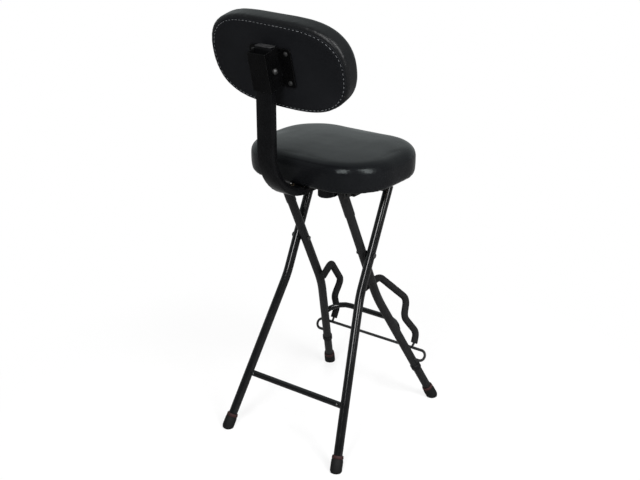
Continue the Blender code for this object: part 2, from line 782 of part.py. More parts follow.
def rounded_outline(half_x, half_y, corner, steps=OUTLINE_STEPS):
    """Gives the points of a rectangle with large round corners."""
    points = []
    places = ((1, 1, 0), (-1, 1, 1), (-1, -1, 2), (1, -1, 3))
    for sx, sy, quarter in places:
        for step in range(steps + 1):
            angle = (quarter + step / steps) * math.pi / 2
            x = sx * (half_x - corner) + corner * math.cos(angle)
            y = sy * (half_y - corner) + corner * math.sin(angle)
            points.append((x, y))
    return points


def scaled(outline, share):
    return [(x * share, y * share) for x, y in outline]


def crowned_rings(outline_at, edge_radius, side_height, crown):
    """Gives (outline, height) pairs for a rounded upper edge and the crown inside it."""
    rings = []
    for step in range(EDGE_STEPS + 1):
        angle = step / EDGE_STEPS * math.pi / 2
        inset = edge_radius * (1 - math.cos(angle))
        height = side_height - edge_radius * (1 - math.sin(angle))
        rings.append((outline_at(inset), height))
    rim = rings[-1][0]
    for share in INNER_RING_SHARES:
        rings.append((scaled(rim, share), side_height + crown * (1 - share**2)))
    return rings


def closed_body(rings, place_of):
    """Builds a closed body of rings, each an outline and a height, whose points are placed by a function."""
    mesh = bmesh.new()
    made = [[mesh.verts.new(place_of(x, y, height)) for x, y in line] for line, height in rings]
    skin_rings(mesh, made)
    mesh.faces.new(made[0])
    mesh.faces.new(made[-1])
    return mesh


def seat_outline(inset):
    return rounded_outline(
        SEAT_HALF_WIDTH - inset, SEAT_HALF_DEPTH - inset, SEAT_CORNER_RADIUS - inset
    )


def seat_place(x, y, height):
    return Vector((x, y + SEAT_CENTRE_Y, SEAT_BOTTOM + height))


def add_seat_cushion():
    """Adds the seat pad, with a pocket underneath that holds the board."""
    pocket = seat_outline(BOARD_INSET - GAP)
    rings = [
        (pocket, BOARD_THICKNESS + GAP),
        (pocket, 0),
        (seat_outline(SEAT_TUCK), 0),
        (seat_outline(SEAT_TUCK / 3), SEAT_SIDE_HEIGHT * SEAT_TUCK_SHARE),
        (seat_outline(0), SEAT_SIDE_HEIGHT * SEAT_BELLY_SHARE),
    ]
    rings += crowned_rings(seat_outline, SEAT_EDGE_RADIUS, SEAT_SIDE_HEIGHT, SEAT_CROWN)
    add_object("seat_cushion", closed_body(rings, seat_place), "vinyl", HINGE)


def add_seat_board():
    outline = seat_outline(BOARD_INSET)
    mesh = closed_body([(outline, 0), (outline, BOARD_THICKNESS)], seat_place)
    return add_object("seat_board", mesh, "plywood", HINGE)


def add_seat_plate():
    outline = (
        (-SEAT_PLATE_HALF_WIDTH, SEAT_PLATE_FRONT),
        (SEAT_PLATE_HALF_WIDTH, SEAT_PLATE_FRONT),
        (SEAT_PLATE_HALF_WIDTH, SEAT_PLATE_REAR),
        (-SEAT_PLATE_HALF_WIDTH, SEAT_PLATE_REAR),
    )
    start = (0, 0, SEAT_PLATE_BOTTOM)
    mesh = prism(outline, start, X_AXIS, Y_AXIS, Z_AXIS, SEAT_PLATE_THICKNESS)
    return add_object("seat_plate", mesh, "satin_black", HINGE)


def screw_mesh(start, axis, head_radius, head_height, radius, reach):
    """Makes a screw with a domed head, from the top of its head to its tip."""
    profile = (
        (0, head_radius / 2),
        (head_height / 2, head_radius),
        (head_height, head_radius),
        (head_height, radius),
        (reach, radius),
    )
    return turned_solid(profile, start, axis, FOAM_SIDES)


def washer_mesh(start, axis, bore, radius, thickness, sides=TUBE_SIDES):
    profile = ((0, bore), (0, radius), (thickness, radius), (thickness, bore))
    return turned_ring(profile, start, axis, sides)


def add_seat_screw(name, x, y, board, plate):
    head = SEAT_PLATE_BOTTOM - GAP - SCREW_HEAD_HEIGHT
    tip = SEAT_BOTTOM + SCREW_BITE
    mesh = screw_mesh(
        (x, y, head), Z_AXIS, SCREW_HEAD_RADIUS, SCREW_HEAD_HEIGHT, SCREW_RADIUS, tip - head
    )
    add_object(name, mesh, "zinc", HINGE)
    for target in (board, plate):
        hole = f"{name}_hole_{target.name}"
        drill(target, hole, (x, y, head), (x, y, tip + GAP), SCREW_RADIUS, FOAM_SIDES)


def build_seat():
    add_seat_cushion()
    board = add_seat_board()
    plate = add_seat_plate()
    for side, sign in SIDES:
        x = sign * SEAT_SCREW_X
        add_seat_screw(f"seat_screw_front_{side}", x, SEAT_SCREW_FRONT, board, plate)
        add_seat_screw(f"seat_screw_rear_{side}", x, SEAT_SCREW_REAR, board, plate)


def add_hinge_bracket(name, side_sign):
    """Adds a U of folded steel that hangs over a leg's cap."""
    inside = CAP_RADIUS + BRACKET_SIDE_PLAY
    outside = inside + BRACKET_THICKNESS
    top = UNDER_PLATE - HINGE_Z
    under = top - BRACKET_THICKNESS
    outline = (
        (-outside, -BRACKET_SKIRT),
        (-inside, -BRACKET_SKIRT),
        (-inside, under),
        (inside, under),
        (inside, -BRACKET_SKIRT),
        (outside, -BRACKET_SKIRT),
        (outside, top),
        (-outside, top),
    )
    start = (side_sign * FRONT_HALF_WIDTH, HINGE_Y - BRACKET_HALF_LENGTH, HINGE_Z)
    mesh = prism(outline, start, X_AXIS, Z_AXIS, Y_AXIS, BRACKET_HALF_LENGTH * 2)
    bracket = add_object(f"hinge_bracket_{name}", mesh, "satin_black", HINGE)
    inner = FRONT_HALF_WIDTH - outside - CUT_OVERRUN
    outer = FRONT_HALF_WIDTH + outside + CUT_OVERRUN
    hole = f"bracket_hole_{name}"
    drill_across(bracket, hole, side_sign, HINGE, inner, outer, HINGE_BOLT_RADIUS)


def add_hinge_bolt(name, side_sign):
    """Adds a headed pin whose inner end is spread after fitting."""
    outside = CAP_RADIUS + BRACKET_SIDE_PLAY + BRACKET_THICKNESS + GAP
    start = (side_sign * (FRONT_HALF_WIDTH + outside + HINGE_HEAD_HEIGHT), HINGE_Y, HINGE_Z)
    shank = HINGE_HEAD_HEIGHT + outside * 2
    profile = (
        (0, HINGE_HEAD_RADIUS / 2),
        (HINGE_HEAD_HEIGHT / 2, HINGE_HEAD_RADIUS),
        (HINGE_HEAD_HEIGHT, HINGE_HEAD_RADIUS),
        (HINGE_HEAD_HEIGHT, HINGE_BOLT_RADIUS),
        (shank, HINGE_BOLT_RADIUS),
        (shank, HINGE_TAIL_RADIUS),
        (shank + HINGE_TAIL, HINGE_BOLT_RADIUS),
    )
    bolt = turned_solid(profile, start, (-side_sign, 0, 0), TUBE_SIDES)
    add_object(f"hinge_bolt_{name}", bolt, "zinc", HINGE)


def add_seat_rail(name, side_sign):
    """Adds a rail that rests on the rear frame's top bar, with a hook in front of the bar."""
    outline = (
        (HOOK_FRONT, BAR_TOP - RAIL_HOOK_DROP),
        (HOOK_REAR, BAR_TOP - RAIL_HOOK_DROP),
        (HOOK_REAR, BAR_TOP),
        (RAIL_REAR, BAR_TOP),
        (RAIL_REAR, UNDER_PLATE),
        (HOOK_FRONT, UNDER_PLATE),
    )
    start = (side_sign * RAIL_CENTRE_X - RAIL_WIDTH / 2, 0, 0)
    mesh = prism(outline, start, Y_AXIS, Z_AXIS, X_AXIS, RAIL_WIDTH)
    rail = add_object(f"seat_rail_{name}", mesh, "nylon", HINGE)
    edge = rail.modifiers.new("edges", "BEVEL")
    edge.width = RAIL_BEVEL
    edge.segments = 1


def build_seat_supports():
    for name, sign in SIDES:
        add_hinge_bracket(name, sign)
        add_hinge_bolt(name, sign)
        add_seat_rail(name, sign)


def add_post_receiver():
    """Adds the channel that holds the post under the seat, with a nut welded to its floor."""
    inside = POST_WIDTH / 2 + RECEIVER_PLAY
    outside = inside + RECEIVER_WALL
    wing = outside + RECEIVER_FLANGE
    wing_under = UNDER_PLATE - RECEIVER_WALL
    outline = (
        (-wing, UNDER_PLATE),
        (-wing, wing_under),
        (-outside, wing_under),
        (-outside, RECEIVER_BOTTOM),
        (outside, RECEIVER_BOTTOM),
        (outside, wing_under),
        (wing, wing_under),
        (wing, UNDER_PLATE),
        (inside, UNDER_PLATE),
        (inside, RECEIVER_INSIDE),
        (-inside, RECEIVER_INSIDE),
        (-inside, UNDER_PLATE),
    )
    length = RECEIVER_REAR - RECEIVER_FRONT
    mesh = prism(outline, (0, RECEIVER_FRONT, 0), X_AXIS, Z_AXIS, Y_AXIS, length)
    receiver = add_object("post_receiver", mesh, "satin_black", HINGE)
    low = (0, CLAMP_Y, CLAMP_NUT_BOTTOM)
    high = (0, CLAMP_Y, RECEIVER_INSIDE - GAP)
    nut = cutter("welded_nut", pin(low, high, CLAMP_NUT_RADIUS, HEX_SIDES))
    weld = receiver.modifiers.new(nut.name, "BOOLEAN")
    weld.operation = "UNION"
    weld.object = nut
    drill_start = (0, CLAMP_Y, CLAMP_NUT_BOTTOM - CUT_OVERRUN)
    drill_end = (0, CLAMP_Y, RECEIVER_INSIDE + CUT_OVERRUN)
    drill(receiver, "clamp_screw_hole", drill_start, drill_end, CLAMP_SCREW_RADIUS)


def add_clamp_knob():
    bore = CLAMP_SCREW_RADIUS + GAP
    profile = (
        (KNOB_HEIGHT + KNOB_BELLY, KNOB_RADIUS / 3),
        (KNOB_HEIGHT + KNOB_BELLY / 2, KNOB_RADIUS * 2 / 3),
        (KNOB_HEIGHT, KNOB_RADIUS - KNOB_EDGE),
        (KNOB_HEIGHT - KNOB_EDGE, KNOB_RADIUS),
        (KNOB_EDGE, KNOB_RADIUS),
        (0, KNOB_RADIUS - KNOB_EDGE),
        (0, KNOB_HUB_RADIUS),
        (-KNOB_HUB_HEIGHT, KNOB_HUB_RADIUS),
        (-KNOB_HUB_HEIGHT, bore),
        (KNOB_BORE_DEPTH, bore),
    )
    knob = turned_solid(profile, (0, CLAMP_Y, KNOB_TOP), (0, 0, -1))
    add_object("clamp_knob", knob, "nylon", CLAMP)


def add_clamp_screw():
    low = (0, CLAMP_Y, KNOB_TOP - KNOB_BORE_DEPTH + GAP)
    high = (0, CLAMP_Y, POST_Z - POST_THICKNESS / 2 - GAP)
    add_object("clamp_screw", pin(low, high, CLAMP_SCREW_RADIUS), "black_oxide", CLAMP)


def back_place(x, up, out):
    """Gives a place by its height along the back rest and its distance behind it."""
    y = BACK_CENTRE_Y + up * math.sin(BACK_LEAN) + out * math.cos(BACK_LEAN)
    z = BACK_CENTRE_Z + up * math.cos(BACK_LEAN) - out * math.sin(BACK_LEAN)
    return Vector((x, y, z))


def add_backrest_post():
    """Adds the bent tube that runs back from under the seat and up to the back rest."""
    front = (0, POST_FRONT_END, POST_Z)
    route = fillet([front, POST_CORNER_PLACE, (0, POST_Y, POST_TOP)], POST_BEND_RADIUS, 12)
    outer = box_section(POST_WIDTH, POST_THICKNESS, POST_CORNER)
    bore = box_section(
        POST_WIDTH - POST_WALL * 2, POST_THICKNESS - POST_WALL * 2, POST_CORNER - POST_WALL
    )
    mesh = sweep(route, outer, X_AXIS, bore)
    post = add_object("backrest_post", mesh, "gloss_black", POST_CORNER_PLACE)
    half = POST_WIDTH / 2 + CUT_OVERRUN
    start, end = (-half, TILT.y, TILT.z), (half, TILT.y, TILT.z)
    drill(post, "post_bolt_hole", start, end, TILT_BOLT_RADIUS)


def add_post_plug():
    """Adds the plug in the post's top end."""
    inner_width = POST_WIDTH - (POST_WALL + GAP) * 2
    inner_thickness = POST_THICKNESS - (POST_WALL + GAP) * 2
    neck = box_section(inner_width, inner_thickness, POST_CORNER - POST_WALL)
    lip = box_section(POST_WIDTH, POST_THICKNESS, POST_CORNER)
    rings = (
        (neck, -POST_PLUG_LENGTH),
        (neck, GAP),
        (lip, GAP),
        (lip, GAP + POST_PLUG_LIP),
    )
    mesh = closed_body(rings, lambda x, y, up: Vector((x, POST_Y + y, POST_TOP + up)))
    add_object("post_plug", mesh, "nylon", POST_CORNER_PLACE)


def back_outline(inset):
    """Gives the pad's outline, a superellipse between an oval and a rectangle."""
    points = []
    for step in range(BACK_OUTLINE_STEPS):
        angle = step / BACK_OUTLINE_STEPS * 2 * math.pi
        c, s = math.cos(angle), math.sin(angle)
        x = (BACK_HALF_WIDTH - inset) * math.copysign(abs(c) ** (2 / BACK_SIDE_POWER), c)
        up = (BACK_HALF_HEIGHT - inset) * math.copysign(abs(s) ** (2 / BACK_TOP_POWER), s)
        points.append((x, up))
    return points


def bowed_place(x, up, depth):
    """Gives a place at a depth in front of the pad's rear face, which bows round the sitter."""
    return back_place(x, up, -depth - BACK_BOW * x**2)


def filled(outline, depth):
    """Gives rings from the middle out to an outline, so that a face follows the bow."""
    return [(scaled(outline, share), depth) for share in (*INNER_RING_SHARES[::-1], 1)]


def bowed_sheet(outline, rear, front):
    return closed_body(filled(outline, rear) + filled(outline, front)[::-1], bowed_place)


def add_back_cushion():
    """Adds the back pad, with a pocket in its rear face that holds the board."""
    pocket = back_outline(BACK_BOARD_INSET - GAP)
    rings = filled(pocket, BACK_BOARD_THICKNESS + GAP) + [
        (pocket, 0),
        (back_outline(BACK_REAR_EDGE), 0),
        (back_outline(BACK_REAR_EDGE / 4), BACK_REAR_EDGE / 2),
        (back_outline(0), BACK_REAR_EDGE * 3 / 2),
    ]
    rings += crowned_rings(back_outline, BACK_EDGE_RADIUS, BACK_THICKNESS, BACK_CROWN)
    add_object("back_cushion", closed_body(rings, bowed_place), "vinyl", TILT)


def add_back_board():
    mesh = bowed_sheet(back_outline(BACK_BOARD_INSET), 0, BACK_BOARD_THICKNESS)
    return add_object("back_board", mesh, "plywood", TILT)


def add_back_cover():
    mesh = bowed_sheet(back_outline(BACK_COVER_INSET), -BACK_COVER_REAR, -GAP)
    return add_object("back_cover", mesh, "cover_cloth", TILT)


def add_back_plate():
    outline = rounded_outline(
        BACK_PLATE_WIDTH / 2, BACK_PLATE_HEIGHT / 2, BACK_PLATE_CORNER, steps=3
    )
    rings = ((outline, BACK_PLATE_FRONT), (outline, BACK_PLATE_REAR))
    mesh = closed_body(rings, lambda x, up, out: back_place(x, up - BACK_PLATE_DROP, out))
    return add_object("back_plate", mesh, "satin_black", TILT)


def add_back_bolt(name, x, up, targets):
    face = BACK_PLATE_REAR + GAP
    head = back_place(x, up, face + BACK_BOLT_HEAD_HEIGHT)
    tip = back_place(x, up, -BACK_BOLT_BITE)
    reach = (head - tip).length
    mesh = screw_mesh(
        head, tip - head, BACK_BOLT_HEAD_RADIUS, BACK_BOLT_HEAD_HEIGHT, BACK_BOLT_RADIUS, reach
    )
    add_object(name, mesh, "zinc", TILT)
    deep = back_place(x, up, -BACK_BOLT_BITE - GAP)
    for target in targets:
        drill(target, f"{name}_hole_{target.name}", head, deep, BACK_BOLT_RADIUS, FOAM_SIDES)


def add_tilt_bracket():
    """Adds the folded channel behind the back rest, whose lower end leans on the post."""
    inside = POST_WIDTH / 2 + TILT_SIDE_PLAY
    outside = inside + TILT_WALL
    near = BACK_PLATE_REAR + GAP
    rings = []
    for up, depth in ((-TILT_FOOT, TILT_FOOT_DEPTH), (TILT_TOP, TILT_TOP_DEPTH)):
        web = depth - TILT_WALL
        outline = (
            (-outside, near),
            (-inside, near),
            (-inside, web),
            (inside, web),
            (inside, near),
            (outside, near),
            (outside, depth),
            (-outside, depth),
        )
        rings.append((outline, up))
    mesh = closed_body(rings, lambda x, out, up: back_place(x, up, out))
    bracket = add_object("tilt_bracket", mesh, "satin_black", TILT)
    reach = outside + CUT_OVERRUN
    start, end = (-reach, TILT.y, TILT.z), (reach, TILT.y, TILT.z)
    drill(bracket, "tilt_bolt_hole", start, end, TILT_BOLT_RADIUS)


def add_tilt_bolt():
    face = POST_WIDTH / 2 + TILT_SIDE_PLAY + TILT_WALL + GAP
    start = (-face - TILT_HEAD_HEIGHT, TILT.y, TILT.z)
    reach = TILT_HEAD_HEIGHT + face * 2 + TILT_NUT_LENGTH + TILT_BOLT_TAIL
    bolt = screw_mesh(start, X_AXIS, TILT_HEAD_RADIUS, TILT_HEAD_HEIGHT, TILT_BOLT_RADIUS, reach)
    add_object("tilt_bolt", bolt, "zinc", TILT)


def add_tilt_nut():
    face = POST_WIDTH / 2 + TILT_SIDE_PLAY + TILT_WALL + GAP
    start, end = TILT + X_AXIS * face, TILT + X_AXIS * (face + TILT_NUT_LENGTH)
    nut = add_object("tilt_nut", pin(start, end, TILT_NUT_RADIUS, HEX_SIDES), "zinc", TILT)
    past = X_AXIS * CUT_OVERRUN
    drill(nut, "tilt_nut_hole", start - past, end + past, TILT_BOLT_RADIUS)


def build_back_rest():
    add_back_cushion()
    board, cover, plate = add_back_board(), add_back_cover(), add_back_plate()
    for side, sign in SIDES:
        x = sign * BACK_BOLT_SPACING_X / 2
        upper = BACK_BOLT_SPACING_Z / 2 - BACK_PLATE_DROP
        lower = -BACK_BOLT_SPACING_Z / 2 - BACK_PLATE_DROP
        add_back_bolt(f"back_bolt_upper_{side}", x, upper, (board, cover, plate))
        add_back_bolt(f"back_bolt_lower_{side}", x, lower, (board, cover, plate))
    add_tilt_bracket()
    add_tilt_bolt()
    add_tilt_nut()


def cut_back(path, distance):
    """Shortens a path by a distance at its start."""
    points = list(path)
    while (points[1] - points[0]).length < distance:
        distance -= (points[1] - points[0]).length
        points.pop(0)
    points[0] = points[0] + (points[1] - points[0]).normalized() * distance
    return points


def trimmed(path, at_start, at_end):
    return cut_back(cut_back(path, at_start)[::-1], at_end)[::-1]


def add_cradle_wire():
    """Adds the wire that swings in the front legs, with a loop back to its axis at each end."""
    middle = point_on(FRONT_LEG, CRADLE_AXIS_HEIGHT, 1).x
    end_x = middle + TUBE_RADIUS - CRADLE_END_DEPTH
    loop_radius = (WIRE_START - CRADLE_AXIS).length / 2
    bend_x = ARM_SPREAD + CRADLE_LOOP_START + loop_radius
    low = Vector((0, CRADLE_AXIS.y, CRADLE_AXIS.z))
    high = Vector((0, WIRE_START.y, WIRE_START.z))
    half = [(end_x, low), (bend_x, low), (bend_x, high)]
    corners = [X_AXIS * x + place for x, place in half]
    corners += [place - X_AXIS * x for x, place in half[::-1]]
    route = fillet(corners, loop_radius - GAP, steps=6)
    wire = rod(route, CRADLE_WIRE_RADIUS, WIRE_SIDES, high - low)
    add_object("cradle_wire", wire, "black_oxide", CRADLE_AXIS)


def arm_path(side_sign):
    corners = []
    for close, back, rise in ARM_SHARES:
        x = side_sign * (ARM_SPREAD - ARM_CLOSE * close)
        corners.append(WIRE_START + Vector((x, ARM_DEPTH * back, ARM_RISE * rise)))
    return fillet(corners, ARM_BEND_RADIUS, steps=3)


def add_cradle_arm(name, side_sign):
    path = trimmed(arm_path(side_sign), CRADLE_WIRE_RADIUS + GAP, FOAM_TIP_WALL + GAP)
    mesh = rod(path, ARM_RADIUS, WIRE_SIDES)
    add_object(f"cradle_arm_{name}", mesh, "black_oxide", CRADLE_AXIS)


def add_cradle_foam(name, side_sign):
    path = arm_path(side_sign)
    foam_path = trimmed(path, CRADLE_WIRE_RADIUS + ARM_STUB, FOAM_TIP_WALL) + [path[-1]]
    section = round_section(FOAM_RADIUS, FOAM_SIDES)
    bore = round_section(ARM_RADIUS + GAP * 2, FOAM_SIDES)
    mesh = sweep(foam_path, section, X_AXIS, bore, blind_points=1)
    add_object(f"cradle_foam_{name}", mesh, "foam", CRADLE_AXIS)


def build_cradle():
    add_cradle_wire()
    for name, sign in SIDES:
        add_cradle_arm(name, sign)
        add_cradle_foam(name, sign)


PIVOT = Vector((0, 0, PIVOT_HEIGHT))
HINGE = Vector((0, HINGE_Y, HINGE_Z))
CRADLE_AXIS = Vector((0, CRADLE_Y, CRADLE_AXIS_HEIGHT))
WIRE_START = CRADLE_AXIS + Vector((0, -CRADLE_WIRE_AHEAD, CRADLE_WIRE_RISE))
CLAMP = Vector((0, CLAMP_Y, CLAMP_NUT_BOTTOM))
POST_CORNER_PLACE = Vector((0, POST_Y, POST_Z))
TILT_DEPTH = (POST_Y - BACK_CENTRE_Y) / math.cos(BACK_LEAN)
TILT = back_place(0, 0, TILT_DEPTH)
POST_TOP = TILT.z + POST_TOP_ABOVE_BOLT
TILT_FOOT_DEPTH = (
    TILT_DEPTH
    + POST_THICKNESS / 2 / math.cos(BACK_LEAN)
    + TILT_FOOT * math.tan(BACK_LEAN)
    + TILT_WALL
    + GAP
)


def build():
    clear_scene()
    build_rear_frame()
    build_frame_pivots()
    build_front_frame()
    build_seat()
    build_seat_supports()
    add_post_receiver()
    add_clamp_knob()
    add_clamp_screw()
    add_backrest_post()
    add_post_plug()
    build_back_rest()
    build_cradle()


build()
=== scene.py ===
"""Dresses the folding guitar stool: soft pieces, trim, finishes, floor, light and camera."""

import functools
import json
import math

import bmesh
import bpy
import numpy as np
from mathutils import Matrix, Vector, noise


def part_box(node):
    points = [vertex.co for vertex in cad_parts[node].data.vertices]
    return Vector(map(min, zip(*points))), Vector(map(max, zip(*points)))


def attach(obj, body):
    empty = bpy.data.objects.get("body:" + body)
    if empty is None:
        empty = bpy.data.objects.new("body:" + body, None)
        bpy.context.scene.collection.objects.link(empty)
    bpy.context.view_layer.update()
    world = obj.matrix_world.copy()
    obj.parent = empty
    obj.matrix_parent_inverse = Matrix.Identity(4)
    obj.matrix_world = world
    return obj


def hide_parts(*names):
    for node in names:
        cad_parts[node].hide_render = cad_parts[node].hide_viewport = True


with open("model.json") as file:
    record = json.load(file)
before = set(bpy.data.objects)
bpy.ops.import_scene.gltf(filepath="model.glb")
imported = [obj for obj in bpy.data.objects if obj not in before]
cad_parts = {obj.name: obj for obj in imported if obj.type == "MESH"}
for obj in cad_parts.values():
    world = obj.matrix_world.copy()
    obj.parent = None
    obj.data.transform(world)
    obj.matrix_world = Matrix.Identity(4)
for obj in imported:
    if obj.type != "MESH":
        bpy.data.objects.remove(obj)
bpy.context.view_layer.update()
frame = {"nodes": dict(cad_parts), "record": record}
NODES = frame["nodes"]

# Sizes shared with the CAD part, in metres
FOOT_REACH = 0.192
PIVOT_HEIGHT = 0.404
SLOPE = FOOT_REACH / PIVOT_HEIGHT
FOOT_HALF_WIDTH = 0.146
REAR_BEND = (0.0955, 0.3253)
FRONT_BEND = (0.0743, 0.2805)
FOOT_HEIGHT = 0.028
FOOT_TOP_RADIUS = 0.0112
BOARD_INSET = 0.012
BOARD_DEPTH = 0.0123
BACK_LEAN = math.radians(14)
BACK_CENTRE = (0.18952, 0.824)
BACK_HALF = (0.1582, 0.0897)
BACK_THICKNESS = 0.0412
BACK_CROWN = 0.004
BACK_BOW = 0.0089 / 0.157**2
BACK_SIDE_POWER, BACK_TOP_POWER = 3.5, 2.35
BACK_BOARD_INSET = 0.016
BACK_BOARD_DEPTH = 0.0093
CRADLE_AXIS_HEIGHT = 0.1112
CRADLE_AXIS = Vector((0, SLOPE * CRADLE_AXIS_HEIGHT - FOOT_REACH, CRADLE_AXIS_HEIGHT))
WIRE_START = CRADLE_AXIS + Vector((0, -0.0117, 0.0202))
ARM_SPREAD, ARM_CLOSE, ARM_DEPTH, ARM_RISE = 0.1101, 0.0558, 0.1135, 0.1845
ARM_SHARES = (
    (0.0, 0.0, 0.0),
    (-0.03, -0.069, 0.035),
    (0.0, -0.164, 0.165),
    (0.265, 0.109, 0.414),
    (0.36, -0.052, 0.612),
    (0.82, 0.603, 1.012),
    (1.0, 1.02, 0.928),
)

# Sizes of the soft pieces and the trim, in metres
SLACK = 0.0005  # how far a pad's flat mesh stays inside its outline before it swells
POCKET_PLAY = 0.0003  # a board's pocket is this much wider than the board
POCKET_EDGE = 0.0012  # the width of a pocket's edge that the board pushes back into shape
SEAT_SWELL = 0.0010
SEAT_CROWN = 0.0044
SEAT_CORNER = 0.1015
SEAT_TUCK = 0.0035
SEAT_EDGE = 0.0204
SEAT_EDGE_STRETCH = 1.1
SEAT_HEM_HEIGHTS = (0.0075, 0.019)
SEAT_VOXEL = 0.0045
STAPLE_COUNT = 46
STAPLE_INSET = 0.0022
STAPLE_LENGTH, STAPLE_RADIUS, STAPLE_LIFT = 0.0085, 0.00045, 0.0002
BACK_ROLL = math.radians(2.0)
BACK_FRONT = BACK_THICKNESS + 0.0008
BACK_EDGE = 0.0120
BACK_FRONT_CROWN = 0.0028
BACK_VOXEL = 0.0042
REAR_ROLL = ((0.0048, 0), (0.0026, 0.0009), (0.0011, 0.0032), (SLACK, 0.008))
CAP_SHARES = (0.8, 0.55, 0.3)  # rings that close a pad's face, as shares of its rim
ROLL_STEPS = 6
COVER_EDGE = 0.0052
COVER_SHIFT = (-0.0022, -0.0018)
COVER_ROLL = math.radians(1.2)
COVER_POINTS = 220
GROOVE_INSET = 0.0038
# How proud of the pad's rear face the cover stands, by the distance inside its own edge
COVER_PLACES = (
    (0, 0.0004, 0.0011, 0.0019, 0.0028, 0.0034)
    + (GROOVE_INSET, 0.0042, 0.0052, 0.0085, 0.02, 0.2)
)
COVER_HEIGHTS = (
    (0.0001, 0.0011, 0.0018, 0.0020, 0.0016, 0.0010)
    + (0.0007, 0.0010, 0.0016, 0.0020, 0.0015, 0.0015)
)
COVER_RINGS = (
    (0, 0.0002, 0.0005, 0.0009, 0.0014, 0.002, 0.0026, 0.0031, 0.0035, GROOVE_INSET, 0.0041)
    + (0.0046, 0.0053, 0.0068, 0.0090, 0.013, 0.019, 0.028, 0.038, 0.05, 0.062, 0.076)
)
COVER_UNDER_RINGS = (0.0003, 0.02, 0.05, 0.076)
STITCH_COUNT = 88
STITCH_INSET = 0.0090
STITCH_SINK, STITCH_RADIUS, STITCH_LIFT = 0.0010, 0.00075, 0.0007
STITCH_SHARE, STITCH_SPREAD = 0.58, 0.42
STITCH_PROFILE = ((-0.5, 0.25), (-0.4, 0.85), (-0.15, 1), (0.15, 1), (0.4, 0.85), (0.5, 0.25))
STITCH_SIDES = 6
FOAM_RADIUS, FOAM_BORE, FOAM_SIDES = 0.0078, 0.0034, 20
FOAM_BEND, FOAM_BEND_STEPS, FOAM_STEP = 0.020, 8, 0.0022
FOAM_START = 0.0095
FOAM_TIP_ANGLES = (15, 35, 55, 72)
FOAM_TIP_SHARE = 0.62
RING_BORE = 0.0098
RING_BAND = FOOT_TOP_RADIUS + 0.0006
RING_SIDES = 40
RING_PROFILE = (
    (RING_BORE, 0.0003),
    (FOOT_TOP_RADIUS + 0.0002, 0.0003),
    (RING_BAND, -0.0036),
    (RING_BAND + 0.0005, -0.0035),
    (RING_BAND + 0.0001, 0.0012),
    (RING_BAND - 0.0005, 0.0025),
    (RING_BORE + 0.0003, 0.0030),
    (RING_BORE, 0.0026),
)

# The cushions' cloth simulation
CLOTH_FRAMES = 20
CLOTH_QUALITY, CLOTH_MASS = 6, 0.25
CLOTH_PRESSURE, CLOTH_STIFFNESS, CLOTH_BENDING = 4.0, 22, 2.0
CALM_ROUNDS = 60
WRINKLE_SHARE = 0.06
LEAST_SWELL = 0.0006
SEAT_TOP_SWELL = 0.0010
BACK_FRONT_SWELL = 0.0008

# Smoothing of the CAD nodes
WELD_DISTANCE = 0.00001
SMOOTH_ANGLE = math.radians(38)

# The studio
FLOOR_HALF, FLOOR_DROP = 9.0, 0.0004
GLOSSY_FLOOR = 0.32
GLOSS_TINT = (0.92, 1.0, 1.0)
SHADOW_SHARE = 0.28
SHADOW_REACH = (0.30, 0.80)
GLOSS_BEHIND = 0.10
GLOSS_AHEAD = 0.57
SKY = 0.22
WHITE = (1, 1, 1, 1)
FRONT_BOX = "soft_box_front"  # it fills shadows and shows in no gloss
# Place, aim, width, height, watts
LAMPS = {
    "soft_box_left": ((-2.25, 0.58, 2.02), (0, 0, 0.55), 0.86, 2.3, 84),
    "soft_box_right": ((-0.70, 2.32, 2.20), (0, 0, 0.55), 0.78, 1.95, 62),
    FRONT_BOX: ((1.1, -1.7, 1.9), (0, 0, 0.45), 1.2, 0.8, 20),
}
CAMERA_YAW = math.radians(216.42)
CAMERA_PITCH = math.radians(21.88)
CAMERA_ROLL = math.radians(-0.10)
CAMERA_PLACE = (-1.2333, 1.7184, 1.2642)
CAMERA_CLIP = (0.05, 60)
SENSOR_WIDTH = 36
FOCAL_PIXELS = 1079.5
IMAGE_WIDTH = 640


# ---------------------------------------------------------------- materials


def add_node(tree, kind, inputs, **settings):
    """Adds a shader node. An input given as a socket is linked, and any other is set."""
    made = tree.nodes.new("ShaderNode" + kind)
    for key, value in settings.items():
        setattr(made, key, value)
    for key, value in inputs.items():
        if isinstance(value, bpy.types.NodeSocket):
            tree.links.new(value, made.inputs[key])
        else:
            made.inputs[key].default_value = value
    return made


